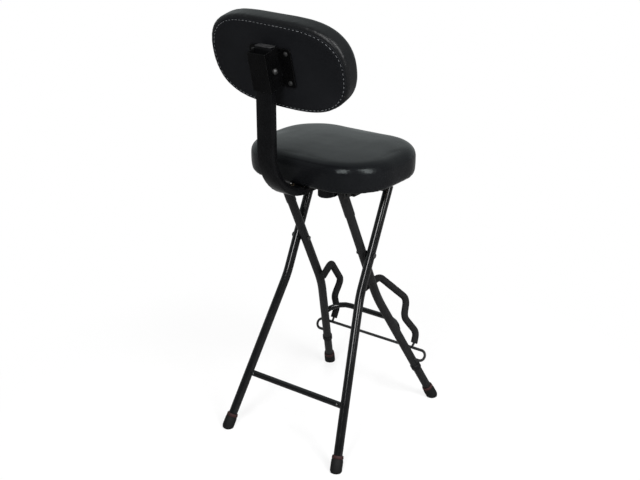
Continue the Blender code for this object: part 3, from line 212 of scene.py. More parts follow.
class Finish:
    """A procedural material on one shader, with helpers for its nodes."""

    def __init__(self, name, **sockets):
        self.material = bpy.data.materials.new(name)
        self.material.use_nodes = True
        self.tree = self.material.node_tree
        self.tree.nodes.clear()
        self.node = functools.partial(add_node, self.tree)
        output = self.node("OutputMaterial", {})
        self.shader = self.node("BsdfPrincipled", {})
        self.tree.links.new(self.shader.outputs[0], output.inputs["Surface"])
        self.place = self.node("TexCoord", {}).outputs["Object"]
        for socket, value in sockets.items():
            self.shader.inputs[socket.replace("_", " ")].default_value = value

    def stretched(self, scale, turn=(0, 0, 0)):
        inputs = {"Vector": self.place, "Scale": scale, "Rotation": turn}
        return self.node("Mapping", inputs).outputs[0]

    def noise(self, scale, detail=3.0, rough=0.5, place=None):
        inputs = {
            "Vector": place or self.place,
            "Scale": scale,
            "Detail": detail,
            "Roughness": rough,
        }
        return self.node("TexNoise", inputs).outputs["Fac"]

    def cells(self, scale, feature="F1"):
        inputs = {"Vector": self.place, "Scale": scale}
        return self.node("TexVoronoi", inputs, feature=feature).outputs["Distance"]

    def remap(self, value, low, high, to_low, to_high):
        inputs = {0: value, 1: low, 2: high, 3: to_low, 4: to_high}
        return self.node("MapRange", inputs).outputs[0]

    def sum(self, first, second, operation="ADD"):
        return self.node("Math", {0: first, 1: second}, operation=operation).outputs[0]

    def product(self, first, second):
        return self.sum(first, second, "MULTIPLY")

    def tones(self, value, *stops):
        ramp = self.node("ValToRGB", {0: value})
        for element, (position, colour) in zip(ramp.color_ramp.elements, stops):
            element.position = position
            element.color = (*colour, 1)
        return ramp.outputs[0]

    def mixed(self, factor, first, second):
        inputs = {0: factor, 6: first, 7: second}
        return self.node("Mix", inputs, data_type="RGBA").outputs[2]

    def bump(self, height, strength, distance, under=None):
        inputs = {"Height": height, "Strength": strength, "Distance": distance}
        if under is not None:
            inputs["Normal"] = under
        return self.node("Bump", inputs).outputs[0]

    def done(self, colour, roughness, normal):
        for socket, value in (
            ("Base Color", colour),
            ("Roughness", roughness),
            ("Normal", normal),
        ):
            self.tree.links.new(value, self.shader.inputs[socket])
        return self.material


SCUFF_TONE = (0.05, 0.05, 0.052, 1)


def paint(name, dark, light, rough, peel, scuffs, level, wave=0.10, edge=0.0004, edge_highlight_tone=0.012):
    """Paint over steel: soft mottling, orange peel, fine rubbed scratches, and sharp edges painted
    a lighter tone as a painted highlight.
    """
    f = Finish(name, Specular_IOR_Level=level)
    mottle = f.noise(38, 5, 0.6)
    long_marks = f.noise(90, 4, 0.7, f.stretched((7, 7, 0.6), (0.5, 0.1, 0)))
    marks = f.remap(long_marks, 0.62, 0.74, 0, 1)
    tones = f.tones(mottle, (0.3, dark), (0.72, light))
    colour = f.mixed(f.product(marks, scuffs), tones, SCUFF_TONE)
    roughness = f.sum(f.remap(mottle, 0.3, 0.7, *rough), f.product(marks, 0.14))
    soft_edge = f.node("Bevel", {"Radius": edge}, samples=4).outputs[0]
    flat = f.node("NewGeometry", {}).outputs["Normal"]
    bend = f.node("VectorMath", {0: soft_edge, 1: flat}, operation="DOT_PRODUCT")
    # Sharp edges, found where the bevelled normal turns from the flat one, get a lighter colour: a
    # painted highlight along them.
    corner = f.remap(bend.outputs["Value"], 0.995, 0.88, 0, 1)
    colour = f.mixed(corner, colour, (edge_highlight_tone, edge_highlight_tone, edge_highlight_tone * 1.02, 1))
    peel_scale, peel_depth = peel
    skin = f.bump(f.noise(peel_scale, 2), peel_depth, 0.0002, soft_edge)
    return f.done(colour, roughness, f.bump(f.noise(70, 2), wave, 0.0006, skin))


def hide(name, dark, light, rough, grain, depth, level, tint=(1.0, 1.0, 1.0)):
    """Sheet vinyl: pebbled grain, fine creases and slow changes of polish."""
    f = Finish(name, Specular_IOR_Level=level, Specular_Tint=(*tint, 1))
    warp = f.noise(300, 2, 0.5)
    pebble = f.cells(grain, "SMOOTH_F1")
    crease = f.remap(f.cells(grain * 0.62, "DISTANCE_TO_EDGE"), 0.0, 0.09, 0, 1)
    slow = f.noise(11, 4, 0.55)
    colour = f.tones(f.sum(slow, f.product(pebble, 0.3)), (0.35, dark), (0.85, light))
    polish = f.remap(slow, 0.3, 0.7, *rough)
    roughness = f.sum(polish, f.remap(pebble, 0.1, 0.6, 0.0, 0.07))
    grain_bump = f.bump(f.sum(f.product(pebble, crease), warp), depth, 0.00030)
    return f.done(colour, roughness, f.bump(f.noise(26, 3, 0.5), 0.16, 0.0016, grain_bump))


def make_zinc(name, dark, light, rough):
    """Plated steel: spangled tones over fine turning marks."""
    f = Finish(name, Metallic=1.0)
    spots = f.noise(420, 5, 0.65)
    turned = f.noise(1500, 2, 0.5, f.stretched((1, 1, 0.15)))
    colour = f.tones(spots, (0.3, dark), (0.7, light))
    return f.done(colour, f.remap(spots, 0.3, 0.7, *rough), f.bump(turned, 0.2, 0.0002))


def make_rubber(name, dark, light, level=0.35):
    """Rubber or moulded plastic: dusty clouds and small pits."""
    f = Finish(name, Specular_IOR_Level=level)
    dust = f.noise(85, 6, 0.7)
    pits = f.noise(1300, 3, 0.6)
    colour = f.tones(dust, (0.35, dark), (0.8, light))
    return f.done(colour, f.remap(dust, 0.3, 0.7, 0.55, 0.8), f.bump(pits, 0.35, 0.0003))


def make_foam():
    """Closed foam: small pores and broader lumps."""
    f = Finish("foam", Specular_IOR_Level=0.25)
    pores = f.cells(1500)
    big = f.noise(240, 4, 0.7)
    dark, light = (0.004, 0.004, 0.0043), (0.0118, 0.0118, 0.0124)
    colour = f.tones(f.product(pores, big), (0.05, dark), (0.45, light))
    normal = f.bump(f.sum(pores, big), 0.7, 0.0006)
    return f.done(colour, f.remap(big, 0.3, 0.7, 0.82, 0.98), normal)


def make_wood():
    """Plywood: wavy rings crossed by fine fibres."""
    f = Finish("plywood")
    place = f.stretched((5, 1, 1))
    wave = {"Vector": place, "Scale": 9.0, "Distortion": 7.0, "Detail": 4.0}
    rings = f.node("TexWave", wave).outputs["Fac"]
    fibre = f.noise(500, 4, 0.6, f.stretched((1, 0.05, 1)))
    dark, light = (0.28, 0.17, 0.085), (0.50, 0.34, 0.19)
    colour = f.tones(f.product(rings, fibre), (0.1, dark), (0.6, light))
    return f.done(colour, f.remap(fibre, 0.3, 0.7, 0.55, 0.75), f.bump(fibre, 0.3, 0.0004))


def make_nylon():
    """Moulded nylon: faint clouds under a fine grain."""
    f = Finish("nylon", Specular_IOR_Level=0.16)
    grain = f.noise(900, 3, 0.6)
    cloud = f.noise(60, 4, 0.6)
    dark, light = (0.004, 0.004, 0.0043), (0.0075, 0.0075, 0.008)
    colour = f.tones(cloud, (0.3, dark), (0.75, light))
    return f.done(colour, f.remap(cloud, 0.3, 0.7, 0.36, 0.52), f.bump(grain, 0.25, 0.00025))


def make_thread():
    """Sewing thread: the twist of its plies, in a grey that is partly its own colour and partly
    painted sheen.
    """
    f = Finish("thread", Specular_IOR_Level=0.4)
    twist = f.noise(2600, 2, 0.5, f.stretched((1, 1, 2), (0, 0.6, 0.4)))
    # The dark thread is given a lighter grey: partly its own colour, partly a painted sheen along
    # the stitches.
    dark, light = (0.05, 0.052, 0.056), (0.13, 0.135, 0.142)
    colour = f.tones(twist, (0.3, dark), (0.7, light))
    return f.done(colour, f.remap(twist, 0.3, 0.7, 0.45, 0.65), f.bump(twist, 0.5, 0.0002))


FINISHES = {
    "gloss_black": paint(
        "gloss_paint",
        dark=(0.0035, 0.0036, 0.0039),
        light=(0.0060, 0.0062, 0.0066),
        rough=(0.11, 0.16),
        peel=(520, 0.02),
        scuffs=0.10,
        level=0.42,
        wave=0.02,
    ),
    "satin_black": paint(
        "satin_paint",
        dark=(0.0062, 0.0062, 0.0065),
        light=(0.0100, 0.0100, 0.0104),
        rough=(0.36, 0.48),
        peel=(1300, 0.20),
        scuffs=0.26,
        level=0.30,
    ),
    "black_oxide": paint(
        "black_oxide",
        dark=(0.008, 0.008, 0.008),
        light=(0.015, 0.015, 0.016),
        rough=(0.34, 0.48),
        peel=(900, 0.15),
        scuffs=0.35,
        level=0.6,
    ),
    "zinc": make_zinc("zinc_plate", (0.40, 0.40, 0.39), (0.66, 0.66, 0.64), (0.24, 0.42)),
    "rubber": make_rubber(
        "rubber", (0.0034, 0.0035, 0.0036), (0.0074, 0.0075, 0.0077), level=0.20
    ),
    "vinyl": hide(
        "vinyl",
        dark=(0.0036, 0.0038, 0.0044),
        light=(0.0062, 0.0065, 0.0074),
        rough=(0.14, 0.21),
        grain=620,
        depth=0.09,
        level=0.12,
        tint=(0.90, 1.0, 0.99),
    ),
    "cover_cloth": hide(
        "cover_vinyl",
        dark=(0.0042, 0.0046, 0.0056),
        light=(0.0072, 0.0077, 0.0090),
        rough=(0.50, 0.64),
        grain=900,
        depth=0.25,
        level=0.07,
    ),
    "foam": make_foam(),
    "plywood": make_wood(),
    "nylon": make_nylon(),
}
DEEP_GLOSS = paint(
    "post_paint",
    dark=(0.0022, 0.0023, 0.0026),
    light=(0.0038, 0.0039, 0.0043),
    rough=(0.14, 0.22),
    peel=(520, 0.08),
    scuffs=0.12,
    level=0.085,
    wave=0.05,
    edge=0.0005,
    # The lighter tone painted on the post's edges as a painted highlight.
    edge_highlight_tone=0.006,
)
DEEP_SATIN = paint(
    "bracket_paint",
    dark=(0.0012, 0.0012, 0.0013),
    light=(0.0024, 0.0024, 0.0026),
    rough=(0.22, 0.34),
    peel=(1300, 0.16),
    scuffs=0.10,
    level=0.06,
    wave=0.06,
    edge=0.0011,
    # The lighter tone painted on the bracket's and plate's edges as a painted highlight.
    edge_highlight_tone=0.011,
)
PAD_VINYL = hide(
    "pad_vinyl",
    dark=(0.0038, 0.0041, 0.0046),
    light=(0.0066, 0.0070, 0.0077),
    rough=(0.28, 0.38),
    grain=620,
    depth=0.10,
    level=0.20,
)
DULL_ZINC = make_zinc("blackened_zinc", (0.045,) * 3, (0.095,) * 3, (0.46, 0.62))
WORN_ZINC = make_zinc("worn_zinc", (0.10,) * 3, (0.20,) * 3, (0.34, 0.50))
CAP_PLASTIC = make_rubber("cap_plastic", (0.012, 0.012, 0.013), (0.036, 0.036, 0.038))
RED_RUBBER = make_rubber("red_rubber", (0.020, 0.0050, 0.0052), (0.038, 0.0095, 0.0095))
THREAD = make_thread()
# Nodes whose finish differs from that of the rest of their slot
NODE_FINISHES = {
    "backrest_post": DEEP_GLOSS,
    "tilt_bracket": DEEP_SATIN,
    "back_plate": DEEP_SATIN,
    "post_plug": CAP_PLASTIC,
    "tilt_bolt": DULL_ZINC,
    "tilt_nut": DULL_ZINC,
}
for side in ("left", "right"):
    for name in ("hinge_bolt", "back_bolt_upper", "back_bolt_lower"):
        NODE_FINISHES[f"{name}_{side}"] = DULL_ZINC
    for name in ("frame_pivot_bolt", "frame_pivot_nut", "crossbar_rivet"):
        NODE_FINISHES[f"{name}_{side}"] = WORN_ZINC


# ------------------------------------------------------------------ meshes


def piece(name, mesh, material, body):
    """Links a bmesh or mesh as a named, smooth-shaded piece that rides on a body."""
    data = mesh
    if isinstance(mesh, bmesh.types.BMesh):
        bmesh.ops.recalc_face_normals(mesh, faces=mesh.faces[:])
        data = bpy.data.meshes.new(name)
        mesh.to_mesh(data)
        mesh.free()
    data.name = name
    data.materials.clear()
    data.materials.append(material)
    data.shade_smooth()
    made = bpy.data.objects.new(name, data)
    bpy.context.scene.collection.objects.link(made)
    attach(made, body)
    return made


def skin(mesh, rings):
    """Joins rings of equally many points into a tube of faces with closed ends."""
    made = [[mesh.verts.new(p) for p in ring] for ring in rings]
    for low, high in zip(made, made[1:]):
        count = len(low)
        for i in range(count):
            j = (i + 1) % count
            mesh.faces.new((low[i], low[j], high[j], high[i]))
    mesh.faces.new(made[0][::-1])
    mesh.faces.new(made[-1])


def rounded_outline(half_x, half_y, corner, steps):
    """A rectangle with round corners, as points."""
    points = []
    for sx, sy, quarter in ((1, 1, 0), (-1, 1, 1), (-1, -1, 2), (1, -1, 3)):
        for step in range(steps + 1):
            angle = (quarter + step / steps) * math.pi / 2
            x = sx * (half_x - corner) + corner * math.cos(angle)
            y = sy * (half_y - corner) + corner * math.sin(angle)
            points.append((x, y))
    return points


def measured(points):
    """A line's points as an array, and how far along the line each of them lies."""
    line = np.array([tuple(p) for p in points], float)
    steps = np.linalg.norm(np.diff(line, axis=0), axis=1)
    return line, np.concatenate([[0], np.cumsum(steps)])


def even_points(points, count):
    """Spaces a closed line's points evenly along it."""
    line, run = measured([*points, points[0]])
    wanted = np.arange(count) / count * run[-1]
    return [tuple(np.interp(w, run, line[:, k]) for k in range(line.shape[1])) for w in wanted]


def edge_roll(slack, across, up, top):
    """The quarter turn between a pad's side and its face, as (inset, height) points."""
    points = []
    for step in range(1, ROLL_STEPS + 1):
        angle = step / ROLL_STEPS * math.pi / 2
        points.append((slack + across * (1 - math.cos(angle)), top - up * (1 - math.sin(angle))))
    return points


def ripple(place, *waves):
    """Sums soft noise at a place. Each wave is a pitch, a height and an offset."""
    return sum(noise.noise(place * pitch + Vector(off)) * height for pitch, height, off in waves)


def wandering(angle, level, pace):
    """Noise round a circle, to set pleats off an even rhythm."""
    return noise.noise(Vector((math.cos(angle), math.sin(angle), level)) * pace)


def calmed(mesh, moved, held):
    """Evens a displacement out along the mesh's edges and leaves a small share of its wrinkles."""
    ends = np.empty(len(mesh.edges) * 2, int)
    mesh.edges.foreach_get("vertices", ends)
    first, second = ends.reshape(-1, 2).T
    degree = np.bincount(ends, minlength=len(moved))[:, None]
    even = moved.copy()
    for _ in range(CALM_ROUNDS):
        even[held] = 0
        total = np.zeros_like(even)
        np.add.at(total, first, even[second])
        np.add.at(total, second, even[first])
        even = (even + total / degree) / 2
    even[held] = 0
    return even + (moved - even) * WRINKLE_SHARE


def fitted(data, reach):
    """Scales a flat pad's mesh so that it fills its half width, half depth and height."""
    points = np.array([v.co for v in data.vertices])
    shares = np.array(reach) / np.abs(points).max(axis=0)
    data.transform(Matrix.Diagonal((*shares, 1)))


def applied(thing):
    """A new mesh with an object's modifiers applied."""
    graph = bpy.context.evaluated_depsgraph_get()
    return bpy.data.meshes.new_from_object(thing.evaluated_get(graph))


def swollen(pad, rest, pinned, cap):
    """Swells a pad as cloth under pressure, and caps how far its points move from rest."""
    scene = bpy.context.scene
    group = pad.vertex_groups.new(name="held")
    held = [i for i, p in enumerate(rest) if pinned(p)]
    group.add(held, 1.0, "REPLACE")
    cloth = pad.modifiers.new("cloth", "CLOTH")
    settings = cloth.settings
    settings.quality = CLOTH_QUALITY
    settings.mass = CLOTH_MASS
    settings.tension_stiffness = CLOTH_STIFFNESS
    settings.compression_stiffness = CLOTH_STIFFNESS
    settings.shear_stiffness = CLOTH_STIFFNESS / 2
    settings.bending_stiffness = CLOTH_BENDING
    settings.use_pressure = True
    settings.uniform_pressure_force = CLOTH_PRESSURE
    settings.vertex_group_mass = group.name
    settings.effector_weights.gravity = 0
    cloth.collision_settings.use_collision = False
    cloth.point_cache.frame_start = 1
    cloth.point_cache.frame_end = CLOTH_FRAMES
    for step in range(1, CLOTH_FRAMES + 1):
        scene.frame_set(step)
    grown = pad.evaluated_get(bpy.context.evaluated_depsgraph_get()).to_mesh()
    moved = np.array([v.co for v in grown.vertices], float) - rest
    moved = calmed(pad.data, moved, held)
    length = np.linalg.norm(moved, axis=1, keepdims=True)
    limit = np.array([cap(p) for p in rest])[:, None]
    pad.modifiers.clear()
    scene.frame_set(1)
    return rest + moved * np.minimum(1, limit / np.maximum(length, 1e-9))


def inflate(mesh, voxel, pinned, cap):
    """Remeshes a closed body evenly, swells it as a cushion's cloth, and smooths
    it."""
    data = bpy.data.meshes.new("pad_start")
    bmesh.ops.recalc_face_normals(mesh, faces=mesh.faces[:])
    mesh.to_mesh(data)
    mesh.free()
    pad = bpy.data.objects.new("pad_start", data)
    bpy.context.scene.collection.objects.link(pad)
    remesh = pad.modifiers.new("even", "REMESH")
    remesh.mode = "VOXEL"
    remesh.voxel_size = voxel
    even = applied(pad)
    pad.modifiers.clear()
    pad.data = even
    rest = np.array([v.co for v in even.vertices], float)
    rest = swollen(pad, rest, pinned, cap)
    even.vertices.foreach_set("co", rest.astype(np.float32).ravel())
    even.update()
    smooth = pad.modifiers.new("smooth", "SUBSURF")
    smooth.levels = smooth.render_levels = 1
    final = applied(pad)
    bpy.data.objects.remove(pad)
    return final


def reshape(data, move):
    """Moves every vertex of a mesh by a function of its place."""
    for vertex in data.vertices:
        vertex.co = move(vertex.co)
    data.update()


def capsule(mesh, centre, along, up, length, radius, lift, place):
    """Adds one stitch: a short arched rod that dives at both ends. Its points go through place."""
    side = along.cross(up).normalized()
    rings = []
    for share, size in STITCH_PROFILE:
        rise = lift * (1 - (2 * share) ** 2) - radius * 0.3
        middle = centre + along * (length * share) + up * rise
        ring = []
        for k in range(STITCH_SIDES):
            angle = k / STITCH_SIDES * 2 * math.pi
            way = side * math.cos(angle) + up * math.sin(angle)
            ring.append(place(middle + way * radius * size))
        rings.append(ring)
    skin(mesh, rings)


# -------------------------------------------------------------------- seat

seat_low, seat_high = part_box("seat_cushion")
SEAT_HALF = (
    (seat_high.x - seat_low.x) / 2 + SEAT_SWELL,
    (seat_high.y - seat_low.y) / 2 + SEAT_SWELL,
)
SEAT_MIDDLE = Vector(
    ((seat_high.x + seat_low.x) / 2, (seat_high.y + seat_low.y) / 2, seat_low.z)
)
SEAT_HEIGHT = seat_high.z - seat_low.z + SEAT_SWELL


def seat_inset(x, y):
    """How far inside the seat's outline a place lies, from a rounded rectangle's distance."""
    qx = abs(x) - (SEAT_HALF[0] - SEAT_CORNER)
    qy = abs(y) - (SEAT_HALF[1] - SEAT_CORNER)
    outside = math.hypot(max(qx, 0), max(qy, 0))
    return SEAT_CORNER - outside - min(max(qx, qy), 0)


def seat_outline(inset, steps=16):
    """The seat's outline drawn in by inset."""
    return rounded_outline(
        SEAT_HALF[0] - inset, SEAT_HALF[1] - inset, SEAT_CORNER - inset, steps
    )


def seat_settled(p):
    """Sets a point of the seat's pad round its board, with soft lumps and pleats at its hem."""
    x, y, z = p
    inset = seat_inset(x, y)
    edge = BOARD_INSET - POCKET_EDGE
    pocket_top = BOARD_DEPTH + 0.004
    if inset > edge and z < pocket_top:
        if z > 0.0085:
            z = max(z, BOARD_DEPTH + 0.0004)
        else:
            push = inset - edge
            away = Vector((x, y)).normalized() * push * 1.3
            x, y = x + away.x, y + away.y
    z = max(z, 0.0)
    if inset < edge or z > pocket_top:
        soft = ripple(Vector((x, y, z)), (19, 0.00030, (0, 0, 0)), (47, 0.00010, (3, 1, 7)))
        out = Vector((x, y, 0)).normalized() if z < 0.04 else Vector((0, 0, 1))
        fade = min(1.0, max(0.0, (z - 0.002) / 0.012))
        angle = math.atan2(y, x)
        pleat = math.sin(angle * 58 + 2.5 * wandering(angle, 0, 5))
        near_hem = max(0.0, 1 - abs(z - 0.006) / 0.012)
        x, y, z = Vector((x, y, z)) + out * (soft * fade + 0.00014 * pleat * near_hem)
    return SEAT_MIDDLE + Vector((x, y, z))


def make_seat_pad():
    """The seat's vinyl cushion, swollen a little over its foam, with the board's pocket below."""
    top = SEAT_HEIGHT - SEAT_CROWN
    pocket = BOARD_INSET - POCKET_PLAY
    hem_low, hem_high = SEAT_HEM_HEIGHTS
    profile = [
        (pocket, BOARD_DEPTH),
        (pocket, 0),
        (SEAT_TUCK + 0.0015, 0),
        (SEAT_TUCK * 0.45, hem_low),
        (SLACK, hem_high),
        (SLACK, top - SEAT_EDGE),
        *edge_roll(SLACK, SEAT_EDGE * SEAT_EDGE_STRETCH, SEAT_EDGE, top),
    ]
    rings = [[Vector((x, y, h)) for x, y in seat_outline(inset)] for inset, h in profile]
    rim = profile[-1][0]
    for share in CAP_SHARES:
        scaled = [(x * share, y * share) for x, y in seat_outline(rim)]
        height = top + SEAT_CROWN * 0.85 * (1 - share**2)
        rings.append([Vector((x, y, height)) for x, y in scaled])
    mesh = bmesh.new()
    skin(mesh, rings)

    def held(p):
        return p[2] < 0.006 or (seat_inset(p[0], p[1]) > BOARD_INSET - 0.004 and p[2] < 0.02)

    def cap(p):
        inside = max(0.0, seat_inset(p[0], p[1]))
        rising = max(0.0, min(1.0, inside / 0.09))
        return LEAST_SWELL + SEAT_TOP_SWELL * rising if p[2] > 0.03 else LEAST_SWELL

    data = inflate(mesh, SEAT_VOXEL, held, cap)
    fitted(data, (*SEAT_HALF, SEAT_HEIGHT))
    reshape(data, seat_settled)
    pad = piece("seat_pad", data, FINISHES["vinyl"], "seat")
    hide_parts("seat_cushion")


def make_seat_staples():
    """Staples that hold the vinyl's turned edge under the board."""
    mesh = bmesh.new()
    line = even_points(seat_outline(BOARD_INSET - STAPLE_INSET, 24), STAPLE_COUNT)
    down = Vector((0, 0, -1))
    for index, (x, y) in enumerate(line):
        ahead = line[(index + 1) % len(line)]
        along = Vector((ahead[0] - x, ahead[1] - y, 0)).normalized()
        along = Matrix.Rotation(0.2 * noise.noise(Vector((x, y, 0)) * 90), 3, "Z") @ along
        centre = SEAT_MIDDLE + Vector((x, y, -0.0001))
        capsule(
            mesh, centre, along, down, STAPLE_LENGTH, STAPLE_RADIUS, STAPLE_LIFT, lambda p: p
        )
    piece("seat_staples", mesh, FINISHES["zinc"], "seat")


# -------------------------------------------------------------- back rest


def back_place(p):
    """Takes (across, up, depth before the rear face) on the flat pad to the bowed, leaning one."""
    across, along, depth = p
    x = across * math.cos(BACK_ROLL) - along * math.sin(BACK_ROLL)
    up = across * math.sin(BACK_ROLL) + along * math.cos(BACK_ROLL)
    out = -depth - BACK_BOW * x * x
    c, s = math.cos(BACK_LEAN), math.sin(BACK_LEAN)
    return Vector((x, BACK_CENTRE[0] + up * s + out * c, BACK_CENTRE[1] + up * c - out * s))


def back_outline(inset, count=160):
    """The pad's outline: an oval drawn out towards a rectangle, most of all at its ends."""
    points = []
    for step in range(count):
        angle = step / count * 2 * math.pi
        c, s = math.cos(angle), math.sin(angle)
        x = (BACK_HALF[0] - inset) * math.copysign(abs(c) ** (2 / BACK_SIDE_POWER), c)
        up = (BACK_HALF[1] - inset) * math.copysign(abs(s) ** (2 / BACK_TOP_POWER), s)
        points.append((x, up))
    return even_points(points, count)


def back_level(x, up, inset):
    """Under 1 inside the pad's outline drawn in by inset, over 1 outside."""
    across, along = abs(x) / (BACK_HALF[0] - inset), abs(up) / (BACK_HALF[1] - inset)
    return math.sqrt(across**BACK_SIDE_POWER + along**BACK_TOP_POWER)


def back_settled(p):
    """Sets a point of the back pad round its board, with soft lumps and pleats at its seam."""
    x, u, d = p
    level = back_level(x, u, BACK_BOARD_INSET - POCKET_EDGE)
    if level < 1 and d < BACK_BOARD_DEPTH + 0.003:
        if d > 0.006:
            d = max(d, BACK_BOARD_DEPTH + 0.0004)
        else:
            grow = 1 / max(level, 0.5)
            x, u = x * grow, u * grow
    d = max(d, 0.0)
    if d > 0.004:
        soft = ripple(Vector((x, u, d)), (21, 0.00025, (5, 0, 2)), (60, 0.00010, (0, 0, 0)))
        out = Vector((x, u * 2, 0)).normalized() if d < 0.03 else Vector((0, 0, 1))
        angle = math.atan2(u * 1.7, x)
        pleat = math.sin(angle * 66 + 3 * wandering(angle, 1, 4))
        near_seam = max(0.0, 1 - abs(d - 0.007) / 0.008)
        x, u, d = Vector((x, u, d)) + out * (soft + 0.00014 * pleat * near_seam)
    return back_place((x, u, d))


def make_back_pad():
    """The back rest's vinyl cushion, drawn in at its rear seam, full at its front."""
    pocket = BACK_BOARD_INSET - POCKET_PLAY
    profile = [
        (pocket, BACK_BOARD_DEPTH),
        (pocket, 0),
        *REAR_ROLL,
        (SLACK, BACK_FRONT - BACK_EDGE),
        *edge_roll(SLACK, BACK_EDGE, BACK_EDGE, BACK_FRONT),
    ]
    rings = [[Vector((x, u, d)) for x, u in back_outline(inset)] for inset, d in profile]
    rim = profile[-1][0]
    for share in CAP_SHARES:
        depth = BACK_FRONT + BACK_FRONT_CROWN * (1 - share**2)
        rings.append([Vector((x * share, u * share, depth)) for x, u in back_outline(rim)])
    mesh = bmesh.new()
    skin(mesh, rings)

    def held(p):
        on_board = back_level(p[0], p[1], BACK_BOARD_INSET - 0.005) < 1
        return p[2] < 0.004 or (on_board and p[2] < 0.015)

    def cap(p):
        middle = max(0.0, 1 - back_level(p[0], p[1], 0))
        return LEAST_SWELL + (BACK_FRONT_SWELL * min(1, middle * 2.2) if p[2] > 0.03 else 0)

    data = inflate(mesh, BACK_VOXEL, held, cap)
    fitted(data, (*BACK_HALF, BACK_THICKNESS + BACK_CROWN))
    reshape(data, back_settled)
    pad = piece("back_pad", data, PAD_VINYL, "backrest")
    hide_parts("back_cushion")


def cover_place(p):
    """Sets a place on the rear cover a little low and turned, as the sewn cover sits on the pad."""
    across, along, depth = p
    c, s = math.cos(COVER_ROLL), math.sin(COVER_ROLL)
    moved = (across * c - along * s + COVER_SHIFT[0], across * s + along * c + COVER_SHIFT[1])
    return back_place((*moved, depth))


def cover_wave(x, u, inset):
    """The cover's gathers at its groove and its broad waves, with none near the steel plate."""
    if inset <= 0.001 or back_level(x, u, 0) < 0.5:
        return 0
    angle = math.atan2(u * 1.7, x)
    pull = math.sin(angle * 70 + 2 * noise.noise(Vector((x, u, 0)) * 30))
    near = max(0.0, 1 - abs(inset - GROOVE_INSET) / 0.004)
    broad = noise.noise(Vector((x, u, 4)) * 24) * 0.00035 * min(1, inset / 0.01)
    return 0.00016 * pull * near + broad


def make_back_cover():
    """The rear cover: sheet vinyl over thin wadding, pulled down along its line of stitches."""

    def outline(inset):
        return back_outline(COVER_EDGE + inset, COVER_POINTS)

    under = [[cover_place((x, u, 0.0)) for x, u in outline(i)] for i in COVER_UNDER_RINGS]
    rings = []
    for inset in COVER_RINGS:
        height = float(np.interp(inset, COVER_PLACES, COVER_HEIGHTS))
        rings.append(
            [cover_place((x, u, -(height + cover_wave(x, u, inset)))) for x, u in outline(inset)]
        )
    mesh = bmesh.new()
    skin(mesh, under[::-1] + rings)
    cover = piece("back_rear_cover", mesh, FINISHES["cover_cloth"], "backrest")
    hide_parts("back_cover")


def make_back_stitches():
    """The stitches round the rear cover, of uneven length."""
    mesh = bmesh.new()
    line = back_outline(STITCH_INSET, STITCH_COUNT)
    outward = Vector((0, 0, -1))
    for index, (x, u) in enumerate(line):
        ahead, behind = line[(index + 1) % STITCH_COUNT], line[index - 1]
        along = Vector((ahead[0] - behind[0], ahead[1] - behind[1], 0)).normalized()
        run = math.dist(ahead, behind) / 2
        centre = Vector((x, u, -STITCH_SINK))
        uneven = noise.noise(Vector((x, u, 0)) * 150)
        length = run * (STITCH_SHARE + STITCH_SPREAD * uneven)
        capsule(mesh, centre, along, outward, length, STITCH_RADIUS, STITCH_LIFT, cover_place)
    piece("back_stitches", mesh, THREAD, "backrest")


# ----------------------------------------------------------------- cradle


def rounded_route(points, radius, steps):
    """Rounds the corners of a run of straight stretches, as the CAD route does."""
    rounded = [points[0]]
    for index in range(1, len(points) - 1):
        before, corner, after = points[index - 1 : index + 2]
        back, ahead = (before - corner).normalized(), (after - corner).normalized()
        half_angle = back.angle(ahead) / 2
        room_before = (before - corner).length / (1 if index == 1 else 2)
        room_after = (after - corner).length / (1 if index == len(points) - 2 else 2)
        room = min(room_before, room_after) * 0.98
        length = min(radius / math.tan(half_angle), room)
        bend = length * math.tan(half_angle)
        centre = corner + (back + ahead).normalized() * (bend / math.sin(half_angle))
        start, end = corner + back * length - centre, corner + ahead * length - centre
        turn = start.angle(end)
        for step in range(steps + 1):
            share = step / steps
            spot = start * math.sin((1 - share) * turn) + end * math.sin(share * turn)
            rounded.append(centre + spot / math.sin(turn))
    return [*rounded, points[-1]]


def spaced(points, step):
    """Points along a route at an even step, with its ends."""
    line, run = measured(points)
    count = max(2, round(run[-1] / step))
    wanted = np.linspace(0, run[-1], count + 1)
    return [Vector([float(np.interp(w, run, line[:, k])) for k in range(3)]) for w in wanted]


def foam_route(sign):
    """The stretch of the arm's path that the foam sleeve covers."""
    corners = []
    for close, back, rise in ARM_SHARES:
        x = sign * (ARM_SPREAD - ARM_CLOSE * close)
        corners.append(WIRE_START + Vector((x, ARM_DEPTH * back, ARM_RISE * rise)))
    route = spaced(rounded_route(corners, FOAM_BEND, FOAM_BEND_STEPS), FOAM_STEP)
    skipped = 0.0
    while skipped < FOAM_START:
        skipped += (route[1] - route[0]).length
        route.pop(0)
    return route


def foam_ring(item, size, shift=0.0):
    """A ring of the sleeve round one point of its path, a little lumpy on the outside."""
    middle, normal, across, ahead = item
    made = []
    for k in range(FOAM_SIDES):
        angle = k / FOAM_SIDES * 2 * math.pi
        way = normal * math.cos(angle) + across * math.sin(angle)
        spot = middle + ahead * shift + way * size
        lump = ripple(spot, (120, 0.00022, (0, 0, 0)), (420, 0.00010, (0, 0, 0)))
        made.append(spot + way * (lump if size > 0.005 else 0))
    return made


